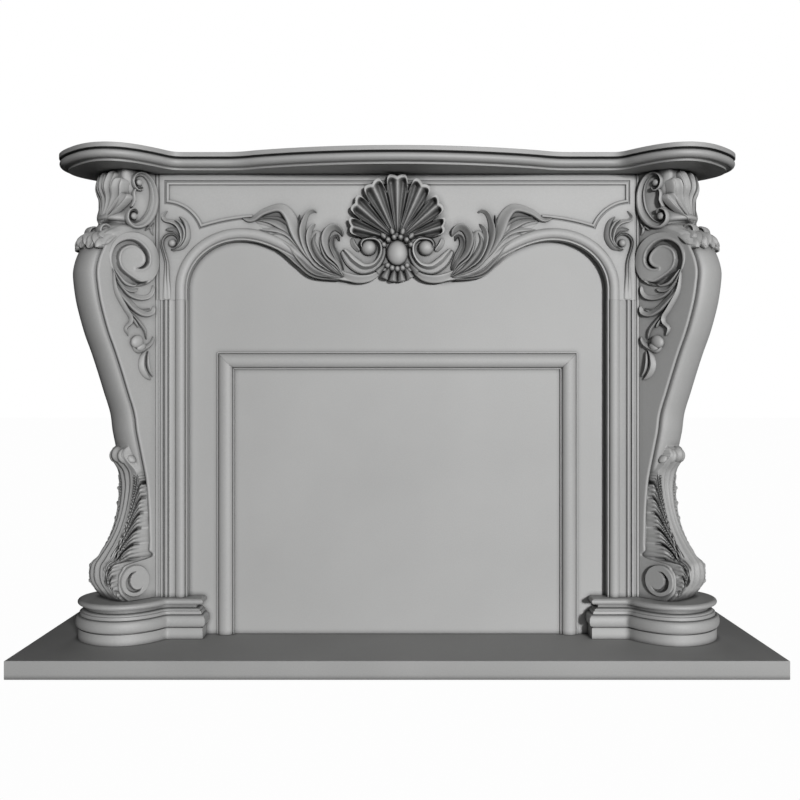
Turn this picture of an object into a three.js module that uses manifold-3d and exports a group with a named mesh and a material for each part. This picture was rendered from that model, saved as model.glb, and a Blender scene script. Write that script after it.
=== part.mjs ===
// A carved stone chimneypiece: hearth slab, plinths, jambs, S-scroll consoles on the
// cut corners, an arched frieze with a shell, a back panel with its frame, and a shelf.
// Millimetres, z up, the front faces -y, the origin is the middle of the underside.
import * as THREE from 'three';
import { mergeVertices } from 'three/addons/utils/BufferGeometryUtils.js';
import Module from 'manifold-3d';

const wasm = await Module();
wasm.setup();

// Driving dimensions
const HEARTH_WIDTH = 1652;
const HEARTH_DEPTH = 500;
const HEARTH_THICK = 40;
const PLINTH_HEIGHT = 91;
const JAMB_HEIGHT = 689;
const FRIEZE_HEIGHT = 292;
const SHELF_THICK = 36.5;
const BODY_DEPTH = 287;
const FRONT_THICK = 24.7;
const JAMB_WIDTH = 73.5;
const RETURN_THICK = 60;
const CONSOLE_WIDTH = 120;
const CONSOLE_REACH = 143;
const NECK_REACH = 66;
const VOLUTE_RADIUS = 62;
const VOLUTE_RELIEF = 7;
const PLINTH_LOBE_REACH = 147;
const PLINTH_LOBE_WIDTH = 214;
const PLINTH_PROUD = 25;
const PLINTH_PAST_OPENING = 41;
const SHELF_LOBE_REACH = 197;
const SHELF_LOBE_WIDTH = 268;
const SHELF_LOBE_INWARD = 14;
const SHELF_PROUD = 57;
const SHELF_BOW = 61;
const SHELF_BOW_WIDTH = 770;
const ARCH_SHOULDER_WIDTH = 126;
const ARCH_SHOULDER_RISE = 113;
const ARCH_DROP = 95;
const ARCH_CROWN_WIDTH = 196;
const ARCH_STILT = 26;
const ROLL_WIDTH = 27;
const ROLL_RELIEF = 7;
const PANEL_MARGIN_TOP = 14;
const PANEL_MARGIN_SIDE = 21;
const PANEL_DEPTH = 3;
const BEAD_WIDTH = 7;
const BEAD_RELIEF = 4;
const EAR_RADIUS = 85;
const SHELL_TOP_GAP = 3;
const SHELL_RELIEF = 26;
const EGG_WIDTH = 50;
const EGG_HEIGHT = 60;
const BACK_THICK = 30;
const FRAME_OUTER_WIDTH = 844;
const SLIP_WIDTH = 66;
const FRAME_HEIGHT = 660;
const FRAME_FACE = 40;
const FRAME_RELIEF = 15;
const BED_HEIGHT = 29;
const BED_REACH = 68;
const BED_DEPTH = 160;

// The gap between touching pieces, and how far a cutter or a joined block passes its neighbour
const JOINT = 0.3;
const OVERRUN = 2;

// Levels and planes that follow from the driving dimensions
const WALL_Y = HEARTH_DEPTH / 2;
const FACE_Y = WALL_Y - BODY_DEPTH;
const BACK_Y = FACE_Y + FRONT_THICK;
const PLINTH_Z = HEARTH_THICK + JOINT;
const JAMB_Z = HEARTH_THICK + PLINTH_HEIGHT + JOINT;
const FRIEZE_Z = JAMB_Z + JAMB_HEIGHT + JOINT;
const ORDER_TOP = FRIEZE_Z + FRIEZE_HEIGHT;
const SHELF_Z = ORDER_TOP + JOINT;
const OPENING_WIDTH = FRAME_OUTER_WIDTH + 2 * SLIP_WIDTH;
const HALF_OPENING = OPENING_WIDTH / 2;
const CORNER_X = HALF_OPENING + JAMB_WIDTH;
const DIAGONAL = Math.SQRT1_2;
const SIDE_X = CORNER_X + CONSOLE_WIDTH * DIAGONAL;
const CHAMFER_BACK_Y = FACE_Y + CONSOLE_WIDTH * DIAGONAL;
const CHAMFER_MID = [CORNER_X + CONSOLE_WIDTH * DIAGONAL / 2, FACE_Y + CONSOLE_WIDTH * DIAGONAL / 2];
const CONSOLE_HEIGHT = ORDER_TOP - JAMB_Z;

// The carving is drawn for these sizes, and grows with the piece that it stands on
const DRAWN = { halfWidth: 561.5, friezeHeight: 292, consoleHeight: 981, consoleReach: 143 };
const SHARE_ACROSS = CORNER_X / DRAWN.halfWidth;
const SHARE_UP = FRIEZE_HEIGHT / DRAWN.friezeHeight;
const SHARE_HEIGHT = CONSOLE_HEIGHT / DRAWN.consoleHeight;
const SHARE_REACH = CONSOLE_REACH / DRAWN.consoleReach;

const stone = (colour) => new THREE.MeshStandardMaterial({ color: colour, roughness: 0.72, metalness: 0 });
const MATERIALS = {
  body: stone(0xa9a9a7),
  carved: stone(0xaeaeac),
  hearth: stone(0x9d9d9b),
};

// Solids

function toSolid(geometry) {
  const bare = geometry.clone();
  bare.deleteAttribute('normal');
  bare.deleteAttribute('uv');
  const merged = mergeVertices(bare, 1e-4);
  return new wasm.Manifold(new wasm.Mesh({
    numProp: 3,
    vertProperties: new Float32Array(merged.attributes.position.array),
    triVerts: new Uint32Array(merged.index.array),
  }));
}

function toMesh(solid, name, material) {
  const raw = solid.getMesh();
  const geometry = new THREE.BufferGeometry();
  geometry.setAttribute('position', new THREE.BufferAttribute(new Float32Array(raw.vertProperties), 3));
  geometry.setIndex(new THREE.BufferAttribute(new Uint32Array(raw.triVerts), 1));
  geometry.computeVertexNormals();
  const mesh = new THREE.Mesh(geometry, material);
  mesh.name = name;
  return mesh;
}

// A closed body through rings of points; its two ends are filled flat.
function loft(rings) {
  const count = rings[0].length;
  const positions = rings.flat(2);
  const faces = [];
  for (let i = 0; i < rings.length - 1; i += 1) {
    for (let j = 0; j < count; j += 1) {
      const a = i * count + j;
      const b = i * count + (j + 1) % count;
      faces.push(a, b, b + count, a, b + count, a + count);
    }
  }
  const last = (rings.length - 1) * count;
  endFaces(rings[0]).forEach(([a, b, c]) => faces.push(c, b, a));
  endFaces(rings[rings.length - 1]).forEach(([a, b, c]) => faces.push(last + a, last + b, last + c));
  if (volumeOf(positions, faces) < 0) faces.reverse();
  const geometry = new THREE.BufferGeometry();
  geometry.setAttribute('position', new THREE.Float32BufferAttribute(positions, 3));
  geometry.setIndex(faces);
  return toSolid(geometry);
}

// Triangles that fill a flat ring, turning the same way as its points.
function endFaces(ring) {
  const points = ring.map((p) => new THREE.Vector3(...p));
  const normal = new THREE.Vector3();
  points.forEach((p, i) => normal.add(p.clone().cross(points[(i + 1) % points.length])));
  const across = points[1].clone().sub(points[0]).normalize();
  const up = normal.normalize().clone().cross(across);
  const flat = points.map((p) => new THREE.Vector2(p.dot(across), p.dot(up)));
  return THREE.ShapeUtils.triangulateShape(flat, []);
}

function volumeOf(positions, faces) {
  const point = (i) => new THREE.Vector3(positions[3 * i], positions[3 * i + 1], positions[3 * i + 2]);
  let sum = 0;
  for (let i = 0; i < faces.length; i += 3) {
    sum += point(faces[i]).dot(point(faces[i + 1]).cross(point(faces[i + 2])));
  }
  return sum;
}

function join(solids) {
  return solids.reduce((whole, piece) => whole.add(piece));
}

function upright(outline, bottom, top) {
  return loft([bottom, top].map((z) => outline.map(([x, y]) => [x, y, z])));
}

function block(xs, ys, zs) {
  const box = new THREE.BoxGeometry(xs[1] - xs[0], ys[1] - ys[0], zs[1] - zs[0]);
  box.translate((xs[0] + xs[1]) / 2, (ys[0] + ys[1]) / 2, (zs[0] + zs[1]) / 2);
  return toSolid(box);
}

function mirrored(solid, axis) {
  const raw = solid.getMesh();
  const positions = Array.from(raw.vertProperties, (value, i) => (i % 3 === axis ? -value : value));
  const geometry = new THREE.BufferGeometry();
  geometry.setAttribute('position', new THREE.Float32BufferAttribute(positions, 3));
  geometry.setIndex(Array.from(raw.triVerts).reverse());
  return toSolid(geometry);
}

const steps = (count) => Array.from({ length: count + 1 }, (_, i) => i / count);
const mix = (a, b, t) => a + (b - a) * t;
const smooth = (t) => t * t * (3 - 2 * t);

// Smooth curve through pairs of numbers
function throughPoints(points) {
  const curve = new THREE.CatmullRomCurve3(points.map(([a, b]) => new THREE.Vector3(a, b, 0)));
  return (t) => {
    const p = curve.getPoint(t);
    return [p.x, p.y];
  };
}

// Value of a smooth line through [place, value] pairs, read at one place
function alongLine(pairs, place) {
  const next = pairs.findIndex(([at]) => at >= place);
  if (next <= 0) return pairs[next === 0 ? 0 : pairs.length - 1][1];
  const [from, low] = pairs[next - 1];
  const [to, high] = pairs[next];
  const before = pairs[Math.max(next - 2, 0)];
  const after = pairs[Math.min(next + 1, pairs.length - 1)];
  const slopeIn = (high - before[1]) / (to - before[0]);
  const slopeOut = (after[1] - low) / (after[0] - from);
  const t = (place - from) / (to - from);
  const rise = (high - low) * smooth(t);
  const span = to - from;
  return low + rise + span * t * (1 - t) * (slopeIn * (1 - t) - slopeOut * t);
}

// Carving. A surface turns (along, up, proud) into a point in space, and says how deep
// the carving that stands on it reaches.

const faceSurface = (ground) => ({ ground, at: (a, b, h) => [a, FACE_Y - h, b] });
const onFace = faceSurface(0);
const onPanel = faceSurface(-PANEL_DEPTH);

// A leaf lobe or band: a ridged strip that follows a curve and stands on its surface.
// The rib stands at a share of the half width to one side.
function lobe(surface, curve, width, relief, options = {}) {
  const { count = 4, rib = 0, start = 0.3, end = 0.12, belly = 0.5 } = options;
  const rings = steps(count).map((t) => {
    const { point, across } = frameOf(curve, t);
    const fall = ((t - belly) / (1 - belly)) ** 2;
    const rise = t < belly ? mix(start, 1, smooth(t / belly)) : mix(1, end, fall);
    const half = (width / 2) * rise;
    const crest = relief * mix(0.6, 1, rise);
    const at = (share, h) => {
      const aside = half * share;
      return surface.at(point[0] + across[0] * aside, point[1] + across[1] * aside, h);
    };
    return [at(-1, surface.ground), at(rib, crest), at(1, surface.ground)];
  });
  return loft(rings);
}

// Point of a curve, and the direction across it
function frameOf(curve, t) {
  const [a0, b0] = curve(Math.max(t - 0.02, 0));
  const [a1, b1] = curve(Math.min(t + 0.02, 1));
  const length = Math.hypot(a1 - a0, b1 - b0);
  return { point: curve(t), across: [-(b1 - b0) / length, (a1 - a0) / length] };
}

// A band of even width that winds round a centre while its radius shrinks.
function spiral(centre, outer, inner, from, turns) {
  return (t) => {
    const angle = from + turns * 2 * Math.PI * t;
    const radius = mix(outer, inner, t);
    return [centre[0] + radius * Math.cos(angle), centre[1] + radius * Math.sin(angle)];
  };
}

// A low dome with an oval foot
function boss(surface, centre, halfA, halfB, relief, sides = 8) {
  const foot = [1, surface.ground];
  const levels = sides > 6 ? [foot, [0.92, relief * 0.5], [0.5, relief]] : [foot, [0.6, relief]];
  return loft(levels.map(([share, h]) => steps(sides).slice(1).map((t) => surface.at(
    centre[0] + halfA * share * Math.cos(2 * Math.PI * t),
    centre[1] + halfB * share * Math.sin(2 * Math.PI * t),
    h,
  ))));
}

// Hearth, back panel and its frame

function hearthSlab() {
  const halfWidth = HEARTH_WIDTH / 2;
  const halfDepth = HEARTH_DEPTH / 2;
  return block([-halfWidth, halfWidth], [-halfDepth, halfDepth], [0, HEARTH_THICK]);
}

const BACK_PANEL_TOP = ORDER_TOP - FRIEZE_HEIGHT * 0.4;

function backPanel() {
  const half = CORNER_X - JOINT;
  return block([-half, half], [BACK_Y + JOINT, BACK_Y + BACK_THICK], [PLINTH_Z, BACK_PANEL_TOP - JOINT]);
}

// Section of the frame moulding: [share of the face from its outer edge, share of the relief]
const FRAME_SECTION = [
  [0, 0], [0, 0.3], [0.12, 0.34], [0.2, 0.72], [0.36, 0.96], [0.5, 1],
  [0.64, 0.96], [0.8, 0.72], [0.88, 0.34], [1, 0.3], [1, 0],
];

// One mitred length. The corner list holds its two ends as [x, z, inward x, inward z].
function frameLength(ends) {
  return loft(ends.map(([x, z, inX, inZ]) => FRAME_SECTION.map(([inward, proud]) => [
    x + inX * inward * FRAME_FACE,
    BACK_Y - proud * FRAME_RELIEF,
    z + inZ * inward * FRAME_FACE,
  ])));
}

function frameLengths() {
  const half = FRAME_OUTER_WIDTH / 2;
  const top = PLINTH_Z + FRAME_HEIGHT;
  const gap = JOINT / 2;
  const side = frameLength([[-half, PLINTH_Z, 1, 0], [-half, top - gap * 2, 1, -1]]);
  const head = frameLength([[-half + gap * 2, top, 1, -1], [half - gap * 2, top, -1, -1]]);
  return { side, head };
}

// Plan outlines. Both the plinth and the shelf have a round lobe that points out at 45 degrees.

// Points of the lobe that stand past the straight front and side, on the right-hand corner,
// with the places where it meets them: a superellipse round an axis that points out at 45 degrees
// and starts a little inward of the middle of the cut corner.
function lobePoints({ reach, width, power, count, front, side, inward = 0 }) {
  const half = width / 2;
  const centre = reach - half;
  const bulge = (value) => half * Math.sign(value) * Math.abs(value) ** (2 / power);
  const whole = steps(count).map((t) => {
    const angle = mix(-0.7, 0.7, t) * Math.PI;
    const out = centre + bulge(Math.cos(angle));
    const across = bulge(Math.sin(angle));
    return [
      CHAMFER_MID[0] - inward + (out + across) * DIAGONAL,
      CHAMFER_MID[1] + (across - out) * DIAGONAL,
    ];
  });
  const past = ([x, y]) => Math.max(front - y, x - side);
  const run = whole.filter((point) => past(point) > 1);
  const first = whole.indexOf(run[0]);
  const last = whole.indexOf(run[run.length - 1]);
  const meet = (inside, outside) => {
    const t = past(inside) / (past(inside) - past(outside));
    return [mix(inside[0], outside[0], t), mix(inside[1], outside[1], t)];
  };
  const start = meet(whole[Math.max(first - 1, 0)], run[0]);
  const end = meet(whole[Math.min(last + 1, count)], run[run.length - 1]);
  return [[start[0], front], ...run, [side, end[1]]];
}

// Moves an open run of points sideways by a distance, to the left of its direction.
function offsetRun(points, distance) {
  return points.map((p, i) => {
    const before = points[Math.max(i - 1, 0)];
    const after = points[Math.min(i + 1, points.length - 1)];
    const back = new THREE.Vector2(p[0] - before[0], p[1] - before[1]).normalize();
    const on = new THREE.Vector2(after[0] - p[0], after[1] - p[1]).normalize();
    const way = (i === 0 ? on : i === points.length - 1 ? back : back.add(on)).normalize();
    const ahead = i === points.length - 1 ? way : on.length() > 0 ? on : way;
    const reach = distance / Math.max(0.5, way.dot(ahead));
    return [p[0] - way.y * reach, p[1] + way.x * reach];
  });
}

// Right-hand plinth: from its inner end along the front, round the lobe, back along the side.
function plinthRun() {
  const inner = HALF_OPENING - PLINTH_PAST_OPENING;
  const front = FACE_Y - PLINTH_PROUD;
  const side = SIDE_X + PLINTH_PROUD;
  const lobeRun = lobePoints({
    reach: PLINTH_LOBE_REACH, width: PLINTH_LOBE_WIDTH, power: 2.15, count: 13, front, side,
  });
  return [[inner, BACK_Y], [inner, front], ...lobeRun, [side, WALL_Y]];
}

// Profile of the plinth from the bottom: [share of its height, inset from the block]
const PLINTH_PROFILE = [
  [0, 0], [0.27, 0], [0.29, 4], [0.32, -3], [0.43, -6], [0.56, -2], [0.6, 5],
  [0.68, 6], [0.73, 17], [0.84, 17], [0.86, 3], [0.93, 0], [1, 5],
];

function plinth() {
  const run = plinthRun();
  const hidden = [
    [CORNER_X + CONSOLE_WIDTH * DIAGONAL - RETURN_THICK, WALL_Y],
    [CORNER_X + CONSOLE_WIDTH * DIAGONAL - RETURN_THICK, CHAMFER_BACK_Y],
    [CORNER_X, BACK_Y + BACK_THICK],
    [CORNER_X, BACK_Y],
  ];
  const rings = PLINTH_PROFILE.map(([share, inset]) => {
    const moved = offsetRun(run, inset);
    const first = [moved[0][0], BACK_Y];
    const last = [moved[moved.length - 1][0], WALL_Y];
    return [first, ...moved.slice(1, -1), last, ...hidden]
      .map(([x, y]) => [x, y, PLINTH_Z + share * (PLINTH_HEIGHT - JOINT)]);
  });
  return loft(rings);
}

// Shelf, symmetric about x = 0, read from its middle to the right and mirrored
function bowAt(x) {
  const edge = SHELF_BOW_WIDTH / 2;
  const turn = edge * 0.84;
  const radius = (turn * turn) / (2 * SHELF_BOW * 0.76);
  if (x < turn) return SHELF_BOW - (x * x) / (2 * radius);
  const rest = (edge - x) / (edge - turn);
  return SHELF_BOW * 0.24 * rest ** 2 * (rest > 0 ? 1 : 0);
}

function shelfRun() {
  const front = FACE_Y - SHELF_PROUD;
  const side = SIDE_X + SHELF_PROUD;
  const bow = steps(7).map((t) => {
    const x = t * SHELF_BOW_WIDTH / 2;
    return [x, front - bowAt(x)];
  });
  const lobeRun = lobePoints({
    reach: SHELF_LOBE_REACH, width: SHELF_LOBE_WIDTH, inward: SHELF_LOBE_INWARD, power: 2.6, count: 15,
    front, side,
  });
  return [...bow, ...lobeRun, [side, WALL_Y]];
}

// Profile of the shelf from its underside: [share of its thickness, inset from the top edge]
const SHELF_PROFILE = [
  [0, 19], [0.13, 18], [0.14, 10], [0.26, 3], [0.4, 1], [0.54, 4], [0.62, 10], [0.68, 10],
  [0.7, 0], [1, 0],
];

function mantelShelf() {
  const right = shelfRun();
  const rings = SHELF_PROFILE.map(([share, inset]) => {
    const moved = offsetRun(right, inset);
    moved[0][0] = 0;
    moved[moved.length - 1][1] = WALL_Y;
    const left = moved.slice(1).map(([x, y]) => [-x, y]).reverse();
    return [...left, ...moved].map(([x, y]) => [x, y, SHELF_Z + share * SHELF_THICK]);
  });
  return loft(rings);
}

// Cove moulding under the shelf on the side return, seen on the right
function bedMould() {
  const near = WALL_Y - BED_DEPTH;
  const face = SIDE_X + JOINT;
  const section = [
    [0, 0], [BED_REACH * 0.35, 0], [BED_REACH * 0.55, 0.16], [BED_REACH * 0.68, 0.45],
    [BED_REACH * 0.72, 0.52], [BED_REACH, 0.52], [BED_REACH, 1], [0, 1],
  ];
  return loft([near, WALL_Y].map((y) => section.map(([out, up]) => [
    face + out, y, SHELF_Z - JOINT - BED_HEIGHT + up * BED_HEIGHT,
  ])));
}

// Jamb, seen on the right: front strip with its roll, cut corner and side return

// Front strip from the opening edge outwards: [distance, proud of the face]
function jambStripSection() {
  return [
    [0, -FRONT_THICK], [0, 1], [2.5, 1], [4, -1], [7, 4], [12, ROLL_RELIEF], [18, ROLL_RELIEF],
    [23, 4], [ROLL_WIDTH, -1.5], [ROLL_WIDTH + 6, -1.5], [ROLL_WIDTH + 7, 0.5], [ROLL_WIDTH + 13, 1],
    [ROLL_WIDTH + 15, -2], [JAMB_WIDTH - 18, -2], [JAMB_WIDTH - 16, 1], [JAMB_WIDTH - 11, 1],
    [JAMB_WIDTH - 9, -2], [JAMB_WIDTH - 5, -2], [JAMB_WIDTH - 3, 0], [JAMB_WIDTH, 0],
    [JAMB_WIDTH, -FRONT_THICK],
  ];
}

function jamb() {
  const pier = upright([
    [CORNER_X, FACE_Y], [SIDE_X, CHAMFER_BACK_Y], [SIDE_X, WALL_Y], [SIDE_X - RETURN_THICK, WALL_Y],
    [SIDE_X - RETURN_THICK, CHAMFER_BACK_Y], [CORNER_X, BACK_Y + BACK_THICK],
  ], JAMB_Z, ORDER_TOP);
  const strip = upright(
    jambStripSection().map(([out, proud]) => [HALF_OPENING + out, FACE_Y - proud]),
    JAMB_Z,
    JAMB_Z + JAMB_HEIGHT,
  );
  return pier.add(strip);
}

// Frieze

// Right half of the arch as [x, z, outward x, outward z], from the springing to the middle
function archRun() {
  const spring = FRIEZE_Z + ARCH_STILT;
  const apexX = HALF_OPENING - ARCH_SHOULDER_WIDTH;
  const apexZ = spring + ARCH_SHOULDER_RISE;
  const crown = ARCH_CROWN_WIDTH / 2;
  const shoulder = steps(6).map((t) => [
    apexX + ARCH_SHOULDER_WIDTH * Math.cos(t * Math.PI / 2),
    spring + ARCH_SHOULDER_RISE * Math.sin(t * Math.PI / 2),
  ]);
  const fall = steps(5).slice(1).map((t) => [
    mix(apexX, crown, t),
    apexZ - ARCH_DROP * (1 - Math.cos(t * Math.PI)) / 2,
  ]);
  return [[HALF_OPENING, FRIEZE_Z], ...shoulder, ...fall, [0, apexZ - ARCH_DROP]];
}

function bothHalves(run) {
  return [...run, ...run.slice(0, -1).map(([x, z]) => [-x, z]).reverse()];
}

const faceSolid = (outline, from, to) => loft([from, to].map((y) => outline.map(([x, z]) => [x, y, z])));

// A moulding swept on the face along a run; its section is [distance to the left, proud].
function onRun(run, section, closed = false) {
  const looped = closed ? [run[run.length - 1], ...run, run[0]] : run;
  const shift = (distance) => offsetRun(looped, distance);
  const lines = section.map(([distance, proud]) => shift(distance).map(([x, z]) => onFace.at(x, z, proud)));
  const rings = looped.map((_, i) => lines.map((line) => line[i]));
  return closed ? ringRound(rings.slice(1, -1)) : loft(rings);
}

// A closed body through rings of points that ends where it began.
function ringRound(rings) {
  const count = rings[0].length;
  const faces = [];
  rings.forEach((_, i) => {
    const next = (i + 1) % rings.length;
    for (let j = 0; j < count; j += 1) {
      const k = (j + 1) % count;
      faces.push(i * count + j, i * count + k, next * count + k);
      faces.push(i * count + j, next * count + k, next * count + j);
    }
  });
  const positions = rings.flat(2);
  if (volumeOf(positions, faces) < 0) faces.reverse();
  const geometry = new THREE.BufferGeometry();
  geometry.setAttribute('position', new THREE.Float32BufferAttribute(positions, 3));
  geometry.setIndex(faces);
  return toSolid(geometry);
}

const EGG_Z = FRIEZE_Z + ARCH_STILT + ARCH_SHOULDER_RISE - ARCH_DROP + EGG_HEIGHT * 1.07;
const SHELL_HINGE_Z = EGG_Z + EGG_HEIGHT / 2;
const SHELL_RADIUS = ORDER_TOP - SHELL_TOP_GAP - SHELL_HINGE_Z;
const VOLUTE_EYE = [HALF_OPENING + 33, EGG_Z + 23];

// Sunk panel outline, right half, from the middle of the top round to the middle of the bottom
function panelRun() {
  const right = CORNER_X - PANEL_MARGIN_SIDE;
  const top = ORDER_TOP - PANEL_MARGIN_TOP;
  const ear = steps(4).map((t) => {
    const angle = mix(Math.PI / 2, Math.PI * 0.9, t);
    return [right + EAR_RADIUS * Math.cos(angle), VOLUTE_EYE[1] + 6 + EAR_RADIUS * Math.sin(angle)];
  });
  const cusp = ear[ear.length - 1];
  const inner = [SHELL_RADIUS * 0.7, EGG_Z + EGG_HEIGHT];
  const sweep = steps(4).slice(1).map((t) => [
    mix(cusp[0], inner[0], t),
    mix(cusp[1], inner[1], t) + EAR_RADIUS * 0.55 * Math.sin(t * Math.PI * 0.75) * (1 - t),
  ]);
  return [[0, top], [right, top], ...ear, ...sweep, [0, inner[1]]];
}

function panelOutline() {
  const run = panelRun();
  return [...run, ...run.slice(1, -1).map(([x, z]) => [-x, z]).reverse()];
}

// Shell: flutes fanned from a hinge just above the egg
function shell() {
  const hinge = [0, SHELL_HINGE_Z];
  const lobes = 7;
  const spread = THREE.MathUtils.degToRad(172);
  const rows = [[0.2, 0.5], [0.92, 1], [1, 0.7]];
  const edge = steps(lobes * 4).map((t) => {
    const angle = Math.PI / 2 + spread * (t - 0.5);
    const within = (t * lobes) % 1;
    const flute = Math.abs(Math.sin(2 * Math.PI * within));
    const deep = within < 0.01 || within > 0.99;
    const length = SHELL_RADIUS * (1 - 0.3 * Math.abs(2 * t - 1) ** 1.6);
    return { angle, flute, deep, length };
  });
  const rim = (share, relief) => edge.map(({ angle, flute, deep, length }) => {
    const reach = length * share * (deep && share > 0.6 ? 0.92 : 1);
    const height = SHELL_RELIEF * relief * (deep ? 0.35 : mix(1, 0.62, flute));
    return [hinge[0] + reach * Math.cos(angle), hinge[1] + reach * Math.sin(angle), height];
  });
  const rings = rows.map(([share, relief]) => {
    const crest = rim(share, relief).map(([a, b, h]) => onPanel.at(a, b, h));
    const back = rim(share, relief).map(([a, b]) => onPanel.at(a, b, onPanel.ground)).reverse();
    return [...crest, ...back];
  });
  return gridBody(rings);
}

// A closed body through rings whose ends are filled as strips, front line to back line.
function gridBody(rings) {
  const count = rings[0].length;
  const half = count / 2;
  const positions = rings.flat(2);
  const faces = [];
  rings.slice(0, -1).forEach((_, i) => {
    for (let j = 0; j < count; j += 1) {
      const a = i * count + j;
      const b = i * count + (j + 1) % count;
      faces.push(a, b, b + count, a, b + count, a + count);
    }
  });
  const last = (rings.length - 1) * count;
  for (let j = 0; j < half - 1; j += 1) {
    const k = count - 1 - j;
    faces.push(j + 1, j, k, j + 1, k, k - 1);
    faces.push(last + j, last + j + 1, last + k, last + j + 1, last + k - 1, last + k);
  }
  if (volumeOf(positions, faces) < 0) faces.reverse();
  const geometry = new THREE.BufferGeometry();
  geometry.setAttribute('position', new THREE.Float32BufferAttribute(positions, 3));
  geometry.setIndex(faces);
  return toSolid(geometry);
}

// Leaf spray beside the cartouche, right side. Each lobe is a curve through points
// [from the middle, above the egg], with its width and its relief.
const SPRAY = [
  {
    through: [[124, -55], [203, -9], [243, 62], [271, 103], [310, 94], [358, 81]],
    width: 17,
    relief: 15,
    count: 8,
  },
  { through: [[222, 18], [258, 56], [324, 72]], width: 20, relief: 7, count: 3 },
  { through: [[124, -60], [187, -44], [243, 20], [304, 33]], width: 18, relief: 12, count: 5 },
  { through: [[212, -30], [253, 2], [280, 17]], width: 10, relief: 6, count: 3 },
  { through: [[212, 0], [232, 46], [226, 89]], width: 9, relief: 9, count: 3 },
  { through: [[150, -44], [190, -18], [216, 40], [208, 90], [187, 95]], width: 17, relief: 14, count: 6 },
  { through: [[186, -14], [204, 30], [190, 68]], width: 10, relief: 11, count: 3 },
  { through: [[136, -42], [176, -12], [188, 46]], width: 15, relief: 13 },
  { through: [[128, -34], [166, 20], [147, 58], [128, 40]], width: 14, relief: 17, count: 6 },
];

function spray() {
  return SPRAY.map(({ through, width, relief, count = 4 }) => {
    const points = through.map(([a, b]) => [a * SHARE_ACROSS, EGG_Z + b * SHARE_UP]);
    return lobe(onPanel, throughPoints(points), width, relief, { count, belly: 0.6 });
  });
}

// C-scroll beside the egg, right side, with its ball end and the crescent under it
function cartoucheScroll() {
  const at = (points) => throughPoints(points.map(([a, b]) => [a, EGG_Z + b]));
  const scroll = at([
    [134, 7], [121, -21], [93, -42], [63, -42], [38, -21], [32, 9], [45, 35], [63, 40], [80, 30], [84, 12],
  ]);
  const crescent = at([[138, -35], [121, -54], [93, -64], [63, -59], [42, -44]]);
  return [
    lobe(onPanel, scroll, 19, 18, { count: 12, start: 0.2, end: 0.5, belly: 0.35 }),
    lobe(onPanel, crescent, 13, 9, { count: 4, start: 0.3, end: 0.3 }),
    boss(onPanel, [66, EGG_Z + 12], 18.5, 18.5, 22, 10),
  ];
}

// Egg with the drops above it, and the beads and tongues below
function eggCluster() {
  const fan = (count, spread, middle) => steps(count - 1).map((t) => middle + spread * (t - 0.5));
  const polar = (radius, angle) => [radius * Math.cos(angle), EGG_Z + radius * Math.sin(angle)];
  const ray = (inner, outer, angle) => throughPoints([polar(inner, angle), polar(outer, angle)]);
  const up = Math.PI / 2;
  const drop = { count: 1, start: 0.8, end: 0.8 };
  const tongue = { count: 1, start: 0.5, end: 0.9 };
  return [
    boss(onPanel, [0, EGG_Z], EGG_WIDTH / 2, EGG_HEIGHT / 2, 24, 12),
    ...fan(5, 1.9, up).map((angle) => lobe(onPanel, ray(30, 44, angle), 8, 14, drop)),
    ...fan(5, 1.5, -up).map((angle) => boss(onPanel, polar(37, angle), 5, 5, 14, 6)),
    ...fan(6, 1.6, -up).map((angle) => lobe(onPanel, ray(38, 64, angle), 12, 9, tongue)),
  ];
}

// Small volute with a leaf in the spandrel, right side, round its own eye
const SPANDREL = [
  {
    through: [[-14, -131], [-14, -43], [-21, 1], [-10, 17], [4, 20], [13, 10], [12, -5], [0, -15]],
    width: 9,
    relief: 10,
    count: 10,
  },
  { through: [[-4, -18], [-22, -8], [-33, 12], [-33, 33], [-20, 57]], width: 14, relief: 11 },
  {
    through: [[-9, -15], [-23, 6], [-12, 44], [16, 53], [22, 63], [11, 74]],
    width: 13,
    relief: 12,
    count: 6,
  },
  { through: [[-18, -6], [-20, 12], [-2, 31], [17, 31]], width: 10, relief: 12 },
];

function spandrelLeaf() {
  const [eyeX, eyeZ] = VOLUTE_EYE;
  const lobes = SPANDREL.map(({ through, width, relief, count = 4 }, i) => {
    const turned = i === 0 ? -1 : 1;
    const points = through.map(([a, b]) => [eyeX + a * turned, Math.max(eyeZ + b, FRIEZE_Z)]);
    return lobe(onFace, throughPoints(points), width, relief, { count, start: 0.7, end: 0.35 });
  });
  return [...lobes, boss(onFace, VOLUTE_EYE, 11, 11, 12, 8)];
}

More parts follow.
